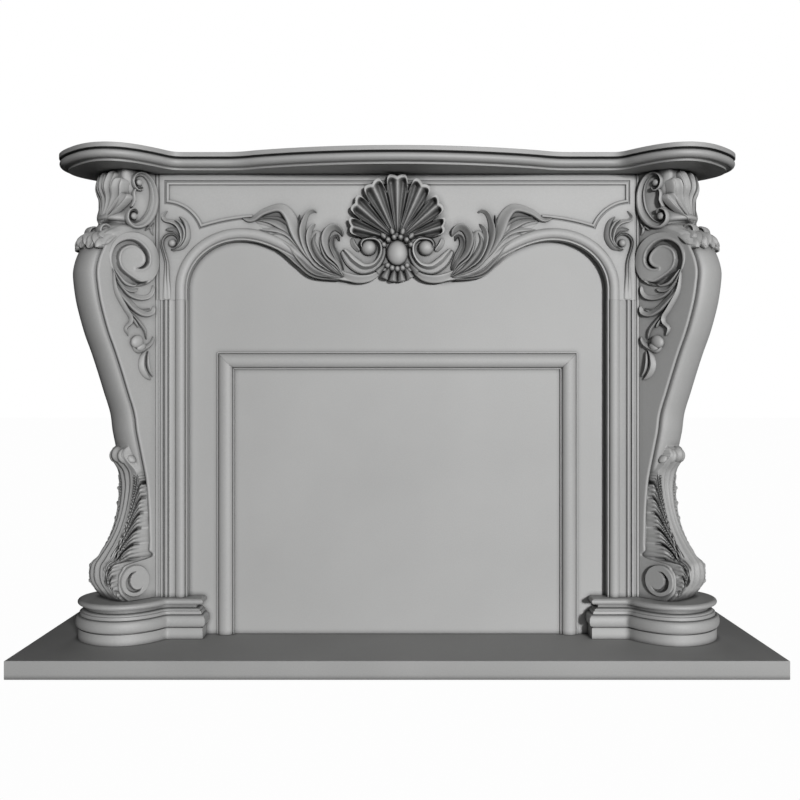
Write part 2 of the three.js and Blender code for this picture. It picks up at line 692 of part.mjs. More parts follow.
function frieze() {
  const arch = archRun();
  const outline = [
    [CORNER_X - JOINT, FRIEZE_Z], ...bothHalves(arch), [-CORNER_X + JOINT, FRIEZE_Z],
    [-CORNER_X + JOINT, ORDER_TOP], [CORNER_X - JOINT, ORDER_TOP],
  ];
  const slab = faceSolid(outline, FACE_Y, BACK_Y);
  const beam = block(
    [-CORNER_X + JOINT, CORNER_X - JOINT],
    [BACK_Y - OVERRUN, BACK_Y + BACK_THICK],
    [BACK_PANEL_TOP + JOINT, ORDER_TOP],
  );
  const sunk = faceSolid(panelOutline(), FACE_Y - OVERRUN, FACE_Y + PANEL_DEPTH);
  const rollSection = [
    [0, 0], [-ROLL_WIDTH * 0.1, ROLL_RELIEF * 0.5], [-ROLL_WIDTH * 0.5, ROLL_RELIEF], [-ROLL_WIDTH, 0],
  ];
  const roll = onRun(bothHalves(arch), rollSection);
  const beadSection = [
    [-1, -PANEL_DEPTH], [BEAD_WIDTH * 0.2, BEAD_RELIEF], [BEAD_WIDTH, -PANEL_DEPTH],
  ];
  const bead = onRun(panelOutline().reverse(), beadSection, true);
  const rightCarving = [...spray(), ...cartoucheScroll(), ...spandrelLeaf()];
  const carving = join(rightCarving);
  return join([
    slab.subtract(sunk), beam, roll, bead, carving, mirrored(carving, 0), shell(), ...eggCluster(),
  ]);
}

// Console. Its own axes: x out from the cut corner, y across, z up from the plinth.
// Its lines are [height, reach] as drawn: of the edge of its front, and of its middle.

const EDGE_LINE = [
  [0, 70], [12, 82], [44, 91], [70, 83], [84, 64], [92, 16], [110, 13], [160, 13], [199, 14], [241, 17],
  [277, 21], [316, 29], [352, 37], [384, 44], [423, 49.5], [477, 67], [528, 84], [570, 99], [608, 114],
  [646, 126], [676, 134], [714, 140.6], [744, 143], [767, 139], [791, 130], [812, 118], [830, 92.5],
  [840, NECK_REACH], [981, NECK_REACH],
];
const CROWN_LINE = [
  [0, 88], [24, 105], [44, 117], [65, 119.5], [84, 115], [97, 105], [124, 84], [157, 64.5], [191, 52],
  [225, 44.5], [272, 42], [295, 48], [312, 61], [328, 70], [344, 63], [364, 50], [384, 53], [423, 58.5],
  [477, 76], [528, 93], [608, 123], [676, 143], [744, 152], [785, 152], [812, 148], [833, 140],
  [852, 131], [870, 117], [902, 96], [922, 96], [940, 105], [981, 100],
];
const readLine = (line, z) => alongLine(line, z / SHARE_HEIGHT) * SHARE_REACH;

// Section of the front: a middle roll as far as one share of the half width, then a quirk,
// then a bead along each edge. Where a leaf lies, the whole front is one dome.
const ROLL_EDGE = 0.78;
const BEAD_EDGE = 0.86;
const QUIRK_DEPTH = 4;
const LEAF_SWELL = 14;

// How far out the front is at height z and place v, a share of the half width
function frontAt(z, v) {
  const edge = readLine(EDGE_LINE, z);
  const crown = Math.max(readLine(CROWN_LINE, z), edge + 1);
  const swell = crown - edge;
  const aside = Math.abs(v);
  if (swell > LEAF_SWELL * SHARE_REACH) return edge + swell * Math.max(0, 1 - aside ** 2.4) ** 0.6;
  if (aside >= BEAD_EDGE) return edge + 1;
  return aside < ROLL_EDGE ? edge + swell * Math.sqrt(1 - (aside / ROLL_EDGE) ** 2) : edge - QUIRK_DEPTH;
}

const HALF_CONSOLE = CONSOLE_WIDTH / 2;
const onSide = (side) => ({
  ground: 0,
  at: (a, b, h) => [a * SHARE_REACH, side * (HALF_CONSOLE + h), b * SHARE_HEIGHT],
});
// Columns across the front; every second one is the bottom of a flute where a leaf lies.
const COLUMNS = [
  -1, -BEAD_EDGE, -ROLL_EDGE, -0.52, -0.26, 0, 0.26, 0.52, ROLL_EDGE, BEAD_EDGE, 1,
];
const FLUTE_DEPTH = 5;

// Leaves on the front: the heights between which each lies, and how far its columns gather
// towards the middle at its lower end
const FRONT_LEAVES = [
  { from: 10, to: 345, gather: 2.2 },
  { from: 772, to: 862, gather: 1.3 },
  { from: 866, to: 981, gather: 2.4 },
];

function consoleBody() {
  const heights = [
    0, 22, 46, 70, 86, 96, 122, 160, 210, 260, 300, 328, 345, 353, 405, 475, 545, 605, 660, 710, 750,
    771, 795, 820, 842, 866, 905, 981,
  ];
  return loft(heights.map((height) => {
    const z = JOINT + height * (CONSOLE_HEIGHT - JOINT) / DRAWN.consoleHeight;
    const leaf = FRONT_LEAVES.find(({ from, to }) => height > from && height < to);
    const open = leaf ? (height - leaf.from) / (leaf.to - leaf.from) : 0;
    const power = leaf ? mix(leaf.gather, 1, open) : 1;
    const depth = leaf ? FLUTE_DEPTH * Math.sin(Math.PI * Math.min(open + 0.2, 0.9)) : 0;
    const front = COLUMNS.map((column, i) => {
      const v = Math.sign(column) * Math.abs(column) ** power;
      const fluted = i % 2 === 0 && Math.abs(column) < 1;
      return [frontAt(z, v) - (fluted ? depth : 0), v * HALF_CONSOLE, z];
    });
    return [[JOINT, -HALF_CONSOLE, z], ...front, [JOINT, HALF_CONSOLE, z]];
  }));
}

// Raised disc of the upper volute with its wound groove, on one side face
const VOLUTE_CENTRE = [55, 778];

function upperVolute(side) {
  const surface = onSide(side);
  const [a, b] = VOLUTE_CENTRE;
  const disc = loft([surface.ground, VOLUTE_RELIEF].map((h) => (
    steps(16).slice(1).map((t) => surface.at(
      a + VOLUTE_RADIUS * Math.cos(2 * Math.PI * t),
      b + VOLUTE_RADIUS * Math.sin(2 * Math.PI * t),
      h,
    ))
  )));
  const groove = throughPoints([
    [33, 726], [70, 731], [101, 767], [77, 812], [40, 811], [23, 789], [32, 762], [50, 756],
  ]);
  return { disc, groove: groovePiece(surface, groove, 9, VOLUTE_RELIEF * 0.8) };
}

// A V-shaped cutter that follows a curve, widest in its first half
function groovePiece(surface, curve, width, depth) {
  return loft(steps(10).map((t) => {
    const { point, across } = frameOf(curve, t);
    const half = (width / 2) * mix(0.35, 1, Math.sin(Math.PI * Math.min(1, 0.1 + t * 0.9)));
    const at = (share, h) => {
      const aside = half * share;
      return surface.at(point[0] + across[0] * aside, point[1] + across[1] * aside, h);
    };
    return [at(-1, VOLUTE_RELIEF + 1), at(0, VOLUTE_RELIEF - depth), at(1, VOLUTE_RELIEF + 1)];
  }));
}

// Low spiral on the side of the foot: its centre, outer and inner radius, and turns
const FOOT_SPIRAL = { centre: [45, 44], outer: 39, inner: 12, turns: 1.35 };

function footVolute(side) {
  const { centre, outer, inner, turns } = FOOT_SPIRAL;
  const curve = spiral(centre, outer, inner, Math.PI * 0.35, turns);
  return lobe(onSide(side), curve, 12, 4, { count: 12, start: 0.8, end: 0.5 });
}

// Foliage on the side face, under the volute: [out, up from the plinth]
const SIDE_LEAVES = [
  { through: [[109, 753], [77, 709], [47, 711]], width: 9, relief: 8 },
  { through: [[100, 727], [71, 700], [22, 694], [9, 720]], width: 13, relief: 10 },
  { through: [[105, 731], [73, 682], [30, 656], [7, 674]], width: 16, relief: 10, count: 5 },
  { through: [[107, 744], [90, 680], [64, 644], [76, 620], [69, 604]], width: 11, relief: 10, count: 6 },
  { through: [[65, 657], [36, 628], [24, 600]], width: 9, relief: 8 },
  { through: [[45, 569], [21, 581], [9, 597]], width: 10, relief: 9, count: 3 },
  { through: [[21, 570], [37, 545], [15, 504]], width: 17, relief: 8 },
];

function sideFoliage(side) {
  const surface = onSide(side);
  const leaves = SIDE_LEAVES.map(({ through, width, relief, count = 4 }) => (
    lobe(surface, throughPoints(through), width, relief, { count, belly: 0.6 })
  ));
  return [...leaves, boss(surface, [51, 587], 15, 14, 12)];
}

// C-scroll on the side of the neck
function neckScroll(side) {
  const surface = onSide(side);
  const backbone = throughPoints([
    [40, 938], [28, 950], [38, 969], [22, 976], [9, 959], [3, 928], [11, 890], [32, 864], [57, 854],
    [72, 868], [67, 887], [52, 891],
  ]);
  return [
    lobe(surface, backbone, 15, 9, { count: 13, start: 0.7, end: 0.7 }),
    boss(surface, [38, 953], 8, 8, 9, 6),
    boss(surface, [55, 874], 9, 9, 9, 6),
  ];
}

// The side that faces the opening has the foliage; the outer side is plainer.
const OPENING_SIDE = 1;
const BOTH_SIDES = [-1, OPENING_SIDE];

function scrollConsole() {
  const volutes = BOTH_SIDES.map(upperVolute);
  const scrolls = BOTH_SIDES.flatMap((side) => [footVolute(side), ...neckScroll(side)]);
  const discs = volutes.map(({ disc }) => disc);
  const solid = join([consoleBody(), ...discs, ...scrolls, ...sideFoliage(OPENING_SIDE)]);
  const far = CONSOLE_REACH * 3;
  const tall = CONSOLE_HEIGHT * 2;
  const behind = block([-far, JOINT], [-far, far], [-far, tall]);
  const above = block([-far, far], [-far, far], [CONSOLE_HEIGHT, tall]);
  const grooved = volutes.reduce((whole, { groove }) => whole.subtract(groove), solid);
  return grooved.subtract(behind).subtract(above);
}

// Assembly

const chimneypiece = new THREE.Group();
const add = (solid, name, material) => {
  const mesh = toMesh(solid, name, material);
  chimneypiece.add(mesh);
  return mesh;
};

add(hearthSlab(), 'hearth_slab', MATERIALS.hearth);
add(backPanel(), 'back_panel', MATERIALS.body);

const { side: frameSide, head: frameHead } = frameLengths();
add(frameSide, 'frame_left', MATERIALS.body);
add(mirrored(frameSide, 0), 'frame_right', MATERIALS.body);
add(frameHead, 'frame_head', MATERIALS.body);

const rightHand = { plinth: plinth(), jamb: jamb(), bed_mould: bedMould() };
Object.entries(rightHand).forEach(([name, solid]) => {
  add(solid, `right_${name}`, MATERIALS.body);
  add(mirrored(solid, 0), `left_${name}`, MATERIALS.body);
});

const corner = scrollConsole();
const rightConsole = add(mirrored(corner, 1), 'right_console', MATERIALS.carved);
rightConsole.position.set(CHAMFER_MID[0], CHAMFER_MID[1], JAMB_Z);
rightConsole.rotation.z = -Math.PI / 4;
const leftConsole = add(corner, 'left_console', MATERIALS.carved);
leftConsole.position.set(-CHAMFER_MID[0], CHAMFER_MID[1], JAMB_Z);
leftConsole.rotation.z = -3 * Math.PI / 4;

add(frieze(), 'frieze', MATERIALS.carved);
add(mantelShelf(), 'mantel_shelf', MATERIALS.body);

export default chimneypiece;
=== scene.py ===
"""The looks of a carved stone chimneypiece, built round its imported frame.

Every new piece is a set of closed shells worked out with numpy in millimetres and put into one
mesh in metres. The left corner is worked out once and mirrored, because both halves are alike.
"""
import logging
import math
from collections.abc import Callable, Sequence
from dataclasses import dataclass, field, replace
from enum import Enum

import bpy
import numpy as np
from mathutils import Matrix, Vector
from mathutils.geometry import tessellate_polygon


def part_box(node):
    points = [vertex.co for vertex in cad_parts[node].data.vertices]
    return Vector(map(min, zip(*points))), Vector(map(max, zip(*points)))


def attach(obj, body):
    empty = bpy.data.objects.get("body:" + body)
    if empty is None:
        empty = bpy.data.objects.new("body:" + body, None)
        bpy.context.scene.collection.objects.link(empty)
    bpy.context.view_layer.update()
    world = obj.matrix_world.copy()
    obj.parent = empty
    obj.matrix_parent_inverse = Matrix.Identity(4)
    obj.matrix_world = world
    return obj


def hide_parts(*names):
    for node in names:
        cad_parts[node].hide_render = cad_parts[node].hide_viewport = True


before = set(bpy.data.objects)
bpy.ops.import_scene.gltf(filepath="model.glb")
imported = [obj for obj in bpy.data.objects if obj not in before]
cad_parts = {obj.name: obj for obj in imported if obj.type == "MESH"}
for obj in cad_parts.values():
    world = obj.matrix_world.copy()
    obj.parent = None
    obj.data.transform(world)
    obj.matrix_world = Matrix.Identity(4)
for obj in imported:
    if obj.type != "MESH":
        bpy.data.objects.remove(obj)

LOG = logging.getLogger("chimneypiece")
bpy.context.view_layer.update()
MM = 0.001
BODY = "root"
Array = np.ndarray
Place = Callable[[Array, Array, Array], Array]
Pairs = Sequence[tuple[float, float]]
Stretch = tuple[str, tuple[float, float], tuple[float, float]]
MitredEnd = tuple[float, float, float, float]
Socket = bpy.types.NodeSocket


def millimetres(node: str) -> tuple[Array, Array]:
    """Lowest and highest corner of a node of the frame, in millimetres.

    Args:
        node: Name of the node.

    Returns:
        The two corners.
    """
    low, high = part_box(node)
    return np.array(low) / MM, np.array(high) / MM


@dataclass(frozen=True)
class Setting:
    """Planes and heights that the pieces share, in millimetres, for the right half.

    Attributes:
        joint: Gap between two pieces that touch.
        jamb_foot: z of the jambs' feet, on the plinths.
        frieze_foot: z of the frieze's feet, on the jambs' front strips.
        order_top: z of the tops of the jambs, the consoles and the frieze.
        half_opening: x of the jambs' inner edges.
        corner_x: x where the cut corner starts, at the front.
        side_x: x of the outer side, where the cut corner ends.
        back_y: y of the back of the front strips and of the frieze's slab.
        face_y: y of their front.
        wall_y: y of the wall.
        return_thick: Thickness of a side return.
        back_thick: How far the piers and the beam reach behind back_y.
    """

    joint: float
    jamb_foot: float
    frieze_foot: float
    order_top: float
    half_opening: float
    corner_x: float
    side_x: float
    back_y: float
    face_y: float
    wall_y: float
    return_thick: float = 60.0
    back_thick: float = 30.0

    @classmethod
    def from_frame(cls, joint: float = 0.3, front_thick: float = 24.7) -> "Setting":
        """Reads the planes from the boxes of the nodes.

        Args:
            joint: Gap between two pieces that touch.
            front_thick: Thickness of the front strip and of the frieze slab.

        Returns:
            The setting.
        """
        jamb_low, jamb_high = millimetres("right_jamb")
        panel_low, panel_high = millimetres("back_panel")
        frieze_low, _ = millimetres("frieze")
        back_y = panel_low[1] - joint
        return cls(
            joint=joint,
            jamb_foot=jamb_low[2],
            frieze_foot=frieze_low[2],
            order_top=jamb_high[2],
            half_opening=jamb_low[0],
            corner_x=panel_high[0] + joint,
            side_x=jamb_high[0],
            back_y=back_y,
            face_y=back_y - front_thick,
            wall_y=jamb_high[1],
        )

    @property
    def corner_middle(self) -> tuple[float, float]:
        """Middle of the cut corner on the right, seen from above."""
        half = (self.side_x - self.corner_x) / 2
        return self.corner_x + half, self.face_y + half


SETTING = Setting.from_frame()
DIAGONAL = math.sqrt(0.5)


# Lines


def smooth_step(share: Array) -> Array:
    """Eases 0 to 1 with level ends: 3t^2 - 2t^3, held at 0 and 1 outside."""
    held = np.clip(share, 0.0, 1.0)
    return held * held * (3.0 - 2.0 * held)


def read_line(pairs: Pairs, places: Array) -> Array:
    """Reads a smooth line through [place, value] pairs.

    Each stretch is a cubic whose end slopes are those of the chords through its neighbours.

    Args:
        pairs: The points of the line, in rising order of place.
        places: Where it is read.

    Returns:
        The values.
    """
    known = np.array(pairs, dtype=float)
    at, value = known[:, 0], known[:, 1]
    slope = np.gradient(value, at)
    held = np.clip(places, at[0], at[-1])
    index = np.clip(np.searchsorted(at, held, side="right") - 1, 0, len(at) - 2)
    span = at[index + 1] - at[index]
    t = (held - at[index]) / span
    rise = value[index] * (1 + 2 * t) * (1 - t) ** 2 + value[index + 1] * t * t * (3 - 2 * t)
    lean = slope[index] * t * (1 - t) ** 2 - slope[index + 1] * t * t * (1 - t)
    return rise + span * lean


def curve_through(points: Pairs, count: int) -> tuple[Array, Array]:
    """A smooth plane curve through points, cut into equal steps of length.

    Each stretch is a Catmull-Rom cubic of its four nearest points. The unit vector across is
    the direction of travel turned a quarter to the left.

    Args:
        points: The points that the curve passes through.
        count: How many places are wanted.

    Returns:
        The places, and the unit vectors across, one row for each place.
    """
    known = np.array(points, dtype=float)
    padded = np.vstack([2 * known[0] - known[1], known, 2 * known[-1] - known[-2]])
    fine = np.linspace(0, len(known) - 1, 24 * (len(known) - 1) + 1)
    index = np.minimum(fine.astype(int), len(known) - 2)
    t = (fine - index)[:, None]
    p0, p1, p2, p3 = (padded[index + k] for k in range(4))
    dense = 0.5 * (
        2 * p1 + (p2 - p0) * t + (2 * p0 - 5 * p1 + 4 * p2 - p3) * t**2
        + (3 * p1 - p0 - 3 * p2 + p3) * t**3
    )
    walked = np.concatenate([[0], np.cumsum(np.hypot(*np.diff(dense, axis=0).T))])
    wanted = np.linspace(0, walked[-1], count)
    place = np.column_stack([np.interp(wanted, walked, dense[:, k]) for k in range(2)])
    along = np.gradient(place, axis=0)
    along /= np.linalg.norm(along, axis=1)[:, None]
    return place, np.column_stack([-along[:, 1], along[:, 0]])


def spread_values(values: Sequence[float], count: int) -> Array:
    """A smooth line through values that are evenly spread from 0 to 1.

    Args:
        values: The values, or a single one for an even line.
        count: How many places are wanted.

    Returns:
        The value at each place.
    """
    if len(values) == 1:
        return np.full(count, float(values[0]))
    pairs = list(zip(np.linspace(0, 1, len(values)), values))
    return read_line(pairs, np.linspace(0, 1, count))


def offset_run(run: Array, distance: float) -> Array:
    """Moves an open run of plan points sideways, to the left of its direction.

    A point moves along the mean of its two edges' normals, further at a corner.

    Args:
        run: The points, one row each.
        distance: How far they move.

    Returns:
        The moved points.
    """
    edges = np.diff(run, axis=0)
    edges /= np.linalg.norm(edges, axis=1)[:, None]
    before = np.vstack([edges[:1], edges])
    after = np.vstack([edges, edges[-1:]])
    way = before + after
    way /= np.linalg.norm(way, axis=1)[:, None]
    reach = distance / np.maximum(0.5, np.sum(way * after, axis=1))
    return run + np.column_stack([-way[:, 1], way[:, 0]]) * reach[:, None]


# Shells and meshes


class Shape:
    """The closed shells of one piece, as points in millimetres and faces."""

    def __init__(self) -> None:
        """Starts with no shells."""
        self.points: list[Array] = []
        self.faces: list[list[int]] = []
        self.count = 0

    def add(self, points: Array, faces: Sequence[Sequence[int]]) -> "Shape":
        """Adds one closed shell and turns it outwards.

        The shell's volume is the sum of its faces' fans against the mean of its points. Where
        it comes out negative, every face is turned round.

        Args:
            points: The points, one row each.
            faces: The faces, as indices of the points.

        Returns:
            The shape itself.
        """
        centred = points - points.mean(axis=0)
        fans = [
            np.array([(f[0], f[k], f[k + 1]) for f in faces if len(f) == size for k in range(1, size - 1)])
            for size in sorted({len(f) for f in faces})
        ]
        fan = np.concatenate([part for part in fans if len(part)])
        a, b, c = (centred[fan[:, k]] for k in range(3))
        inside_out = np.einsum("ij,ij->i", a, np.cross(b, c)).sum() < 0
        start = self.count
        turned = [list(face)[::-1] if inside_out else list(face) for face in faces]
        self.faces.extend([[start + i for i in face] for face in turned])
        self.points.append(points)
        self.count += len(points)
        return self

    def loft(self, rings: Array) -> "Shape":
        """Adds a body through rings of points, closed by a flat face at each end.

        Args:
            rings: Points in the shape (rings, points of a ring, 3).

        Returns:
            The shape itself.
        """
        rows, count, _ = rings.shape
        faces = wrapped_quads(rows, count)
        faces.append(list(range(count))[::-1])
        faces.append([(rows - 1) * count + i for i in range(count)])
        return self.add(rings.reshape(-1, 3), faces)

    def dome(self, rings: Array) -> "Shape":
        """Adds a body through rings that closes in a point past its last ring.

        Args:
            rings: Points in the shape (rings, points of a ring, 3), the last ring nearly a point.

        Returns:
            The shape itself.
        """
        rows, count, _ = rings.shape
        faces = wrapped_quads(rows, count)
        faces.append(list(range(count))[::-1])
        tip = rows * count
        base = (rows - 1) * count
        faces.extend([[base + i, base + (i + 1) % count, tip] for i in range(count)])
        points = np.vstack([rings.reshape(-1, 3), rings[-1].mean(axis=0)])
        return self.add(points, faces)

    def sheet(self, front: Array, back: Array) -> "Shape":
        """Adds a body between two grids of the same size that share their outline's order.

        Args:
            front: Points in the shape (rows, columns, 3).
            back: The points behind them.

        Returns:
            The shape itself.
        """
        rows, count, _ = front.shape
        total = rows * count
        index = np.arange(total).reshape(rows, count)
        quads = np.stack([index[:-1, :-1], index[:-1, 1:], index[1:, 1:], index[1:, :-1]], axis=-1)
        faces = quads.reshape(-1, 4).tolist()
        faces.extend((quads.reshape(-1, 4)[:, ::-1] + total).tolist())
        rim = np.concatenate([index[0, :-1], index[:-1, -1], index[-1, :0:-1], index[:0:-1, 0]])
        after = np.roll(rim, -1)
        faces.extend(np.column_stack([after, rim, rim + total, after + total]).tolist())
        return self.add(np.vstack([front.reshape(-1, 3), back.reshape(-1, 3)]), faces)

    def merge(self, other: "Shape") -> "Shape":
        """Adds every shell of another shape.

        Args:
            other: The other shape.

        Returns:
            The shape itself.
        """
        self.faces.extend([[self.count + i for i in face] for face in other.faces])
        self.points.extend(other.points)
        self.count += other.count
        return self

    def mirrored(self) -> "Shape":
        """The same shells on the other side of x = 0, with their faces turned to match.

        Returns:
            The mirror image.
        """
        twin = Shape()
        twin.points = [points * np.array([-1.0, 1.0, 1.0]) for points in self.points]
        twin.faces = [face[::-1] for face in self.faces]
        twin.count = self.count
        return twin

    def to_object(self, name: str, crease: float = 38.0) -> bpy.types.Object:
        """Puts the shells into one mesh in metres.

        Args:
            name: Name of the piece.
            crease: Edges that turn by more than this many degrees are drawn sharp.

        Returns:
            The object, at the origin.
        """
        mesh = bpy.data.meshes.new(name)
        points = np.vstack(self.points) * MM
        mesh.from_pydata(points.tolist(), [], self.faces, shade_flat=False)
        mesh.validate()
        mesh.set_sharp_from_angle(angle=math.radians(crease))
        mesh.update()
        piece = bpy.data.objects.new(name, mesh)
        bpy.context.scene.collection.objects.link(piece)
        return piece


def wrapped_quads(rows: int, count: int) -> list[list[int]]:
    """Quads between neighbouring rings that close on themselves.

    Args:
        rows: Number of rings.
        count: Points in each ring.

    Returns:
        The quads, as indices.
    """
    index = np.arange(rows * count).reshape(rows, count)
    after = np.roll(index, -1, axis=1)
    quads = np.stack([index[:-1], after[:-1], after[1:], index[1:]], axis=-1)
    return quads.reshape(-1, 4).tolist()


# Carving


class Section(Enum):
    """How a carved band's height runs from one edge to the other."""

    ROUND = "round"
    KEEL = "keel"
    HOLLOW = "hollow"
    LEAN = "lean"
    SCROLL = "scroll"
    TWIN = "twin"


ROUND, KEEL, HOLLOW, LEAN, SCROLL, TWIN = Section


def section_height(section: Section, u: Array) -> Array:
    """Height of a band's section as a share of its relief.

    Round is half an ellipse. Keel falls from a crest to both edges. Hollow has two rims with a
    dip between. Lean climbs from its right edge to a rim near its left edge. Scroll has a broad
    rim on its left, a channel, and a thin rim on its right. Twin has a groove along its middle.

    Args:
        section: Which section.
        u: Place across the band, -1 at its right edge and 1 at its left.

    Returns:
        The height at each place.
    """
    shoulder = np.sqrt(np.clip(1 - np.abs(u) ** 6, 0, 1))
    if section is ROUND:
        return np.sqrt(np.clip(1 - u * u, 0, 1))
    if section is KEEL:
        return (1 - 0.75 * np.abs(u) ** 1.15) * shoulder
    if section is HOLLOW:
        return (0.12 + 0.88 * u * u) * shoulder
    if section is LEAN:
        return (0.3 + 0.7 * smooth_step((u + 1) / 1.7) - 0.12 * np.cos(1.6 * u)) * shoulder
    if section is SCROLL:
        return (0.25 + 0.75 * smooth_step((u + 0.1) / 0.4) + 0.5 * smooth_step((-0.7 - u) / 0.2)) * shoulder
    return (1 - 0.42 * np.exp(-((u / 0.2) ** 2))) * np.sqrt(np.clip(1 - np.abs(u) ** 3, 0, 1))


@dataclass(frozen=True)
class Band:
    """A leaf lobe, scroll or stem that follows a curve and stands on a surface.

    Attributes:
        through: Points of its middle line, along and up, from its root to its tip.
        widths: Widths from root to tip, evenly spread.
        heights: Heights of its crest over the surface, from root to tip.
        section: How its height runs across.
        ends: Share of the length over which the root and the tip close.
        rows: Number of rings along it.
        columns: Number of places across it.
        sunk: How far its foot reaches into the surface.
    """

    through: Pairs
    widths: Sequence[float]
    heights: Sequence[float]
    section: Section = ROUND
    ends: tuple[float, float] = (0.02, 0.06)
    rows: int = 40
    columns: int = 13
    sunk: float = 1.0

    def rings(self, place: Place) -> Array:
        """Rings of the band on its surface.

        A ring at share t of the length has half width w(t)/2 times the closing of the ends,
        which is a quarter circle, and height h(t) times the section.

        Args:
            place: Turns (along, up, proud) into points in space.

        Returns:
            Points in the shape (rows, points of a ring, 3).
        """
        middle, across = curve_through(self.through, self.rows)
        t = np.linspace(0, 1, self.rows)
        root, tip = self.ends
        closing = np.minimum(1, np.minimum(t / max(root, 1e-6), (1 - t) / max(tip, 1e-6)))
        close = np.sqrt(np.clip(1 - (1 - closing) ** 2, 0.0, 1)) * 0.97 + 0.03
        half = spread_values(self.widths, self.rows) / 2 * close
        crest = spread_values(self.heights, self.rows) * (0.35 + 0.65 * close)
        u = np.sin(np.linspace(-1, 1, self.columns) * math.pi / 2)
        rise = crest[:, None] * section_height(self.section, u)[None, :]
        share = np.concatenate([[-1.0], u, [1.0]])
        proud = np.column_stack([np.full(self.rows, -self.sunk), rise, np.full(self.rows, -self.sunk)])
        a = middle[:, 0, None] + across[:, 0, None] * half[:, None] * share[None, :]
        b = middle[:, 1, None] + across[:, 1, None] * half[:, None] * share[None, :]
        return place(a, b, proud)


def carve(shape: Shape, place: Place, bands: Sequence[Band]) -> None:
    """Adds every band to a shape, on one surface.

    Args:
        shape: Where they are added.
        place: The surface.
        bands: The bands.
    """
    for band in bands:
        shape.loft(band.rings(place))


def boss(
    shape: Shape, place: Place, centre: tuple[float, float], halves: tuple[float, float],
    relief: float, turned: float = 0.0, base: float = 0.35,
) -> None:
    """Adds an oval button that stands on a surface.

    At an angle p from its foot to its top, its radius is cos p and its height sin p.

    Args:
        shape: Where it is added.
        place: The surface.
        centre: Its middle, along and up.
        halves: Its half width and half height.
        relief: How far its top stands out.
        turned: How far its axes are turned, in degrees.
        base: Share of the relief that stands straight up before the round starts.
    """
    around = np.linspace(0, 2 * math.pi, 32, endpoint=False)[None, :]
    rise = np.linspace(0, 0.96, 11)[:, None] * math.pi / 2
    radius = np.vstack([[1.0], np.cos(rise)])
    height = np.vstack([[-1.0], relief * (base + (1 - base) * np.sin(rise))])
    long, short = halves[0] * radius * np.cos(around), halves[1] * radius * np.sin(around)
    turn = math.radians(turned)
    a = centre[0] + long * math.cos(turn) - short * math.sin(turn)
    b = centre[1] + long * math.sin(turn) + short * math.cos(turn)
    shape.dome(place(a, b, np.broadcast_to(height, a.shape)))


def on_front(plane: float) -> Place:
    """A surface that faces the front at one y, read as (x, z, proud)."""
    return lambda a, b, proud: np.stack([a, plane - proud, b], axis=-1)


def shifted(place: Place, middle: tuple[float, float]) -> Place:
    """The same surface, read from another middle."""
    return lambda a, b, proud: place(a + middle[0], b + middle[1], proud)


def polar_grid(centre: tuple[float, float], radii: Array, count: int) -> tuple[Array, Array]:
    """Places on rings round a centre, at equal steps of angle.

    Args:
        centre: The centre.
        radii: Radius of each ring.
        count: Number of places on a ring.

    Returns:
        The two coordinates, one row for each ring.
    """
    around = np.linspace(0, 2 * math.pi, count, endpoint=False)
    return centre[0] + radii[:, None] * np.cos(around), centre[1] + radii[:, None] * np.sin(around)


def distance_to_line(a: Array, b: Array, line: Array) -> tuple[Array, Array]:
    """Distance of places to a polyline, and the share of its length at the nearest point.

    Args:
        a: First coordinate of the places.
        b: Second coordinate.
        line: Points of the polyline, one row each.

    Returns:
        The distances and the shares.
    """
    start, step = line[:-1], np.diff(line, axis=0)
    length = np.sum(step * step, axis=1)
    away_a = a[..., None] - start[:, 0]
    away_b = b[..., None] - start[:, 1]
    t = np.clip((away_a * step[:, 0] + away_b * step[:, 1]) / length, 0, 1)
    apart = np.hypot(away_a - t * step[:, 0], away_b - t * step[:, 1])
    nearest = np.argmin(apart, axis=-1)
    pick = np.take_along_axis
    near = nearest[..., None]
    share = (nearest + pick(t, near, axis=-1)[..., 0]) / len(step)
    return pick(apart, near, axis=-1)[..., 0], share


# Finishes


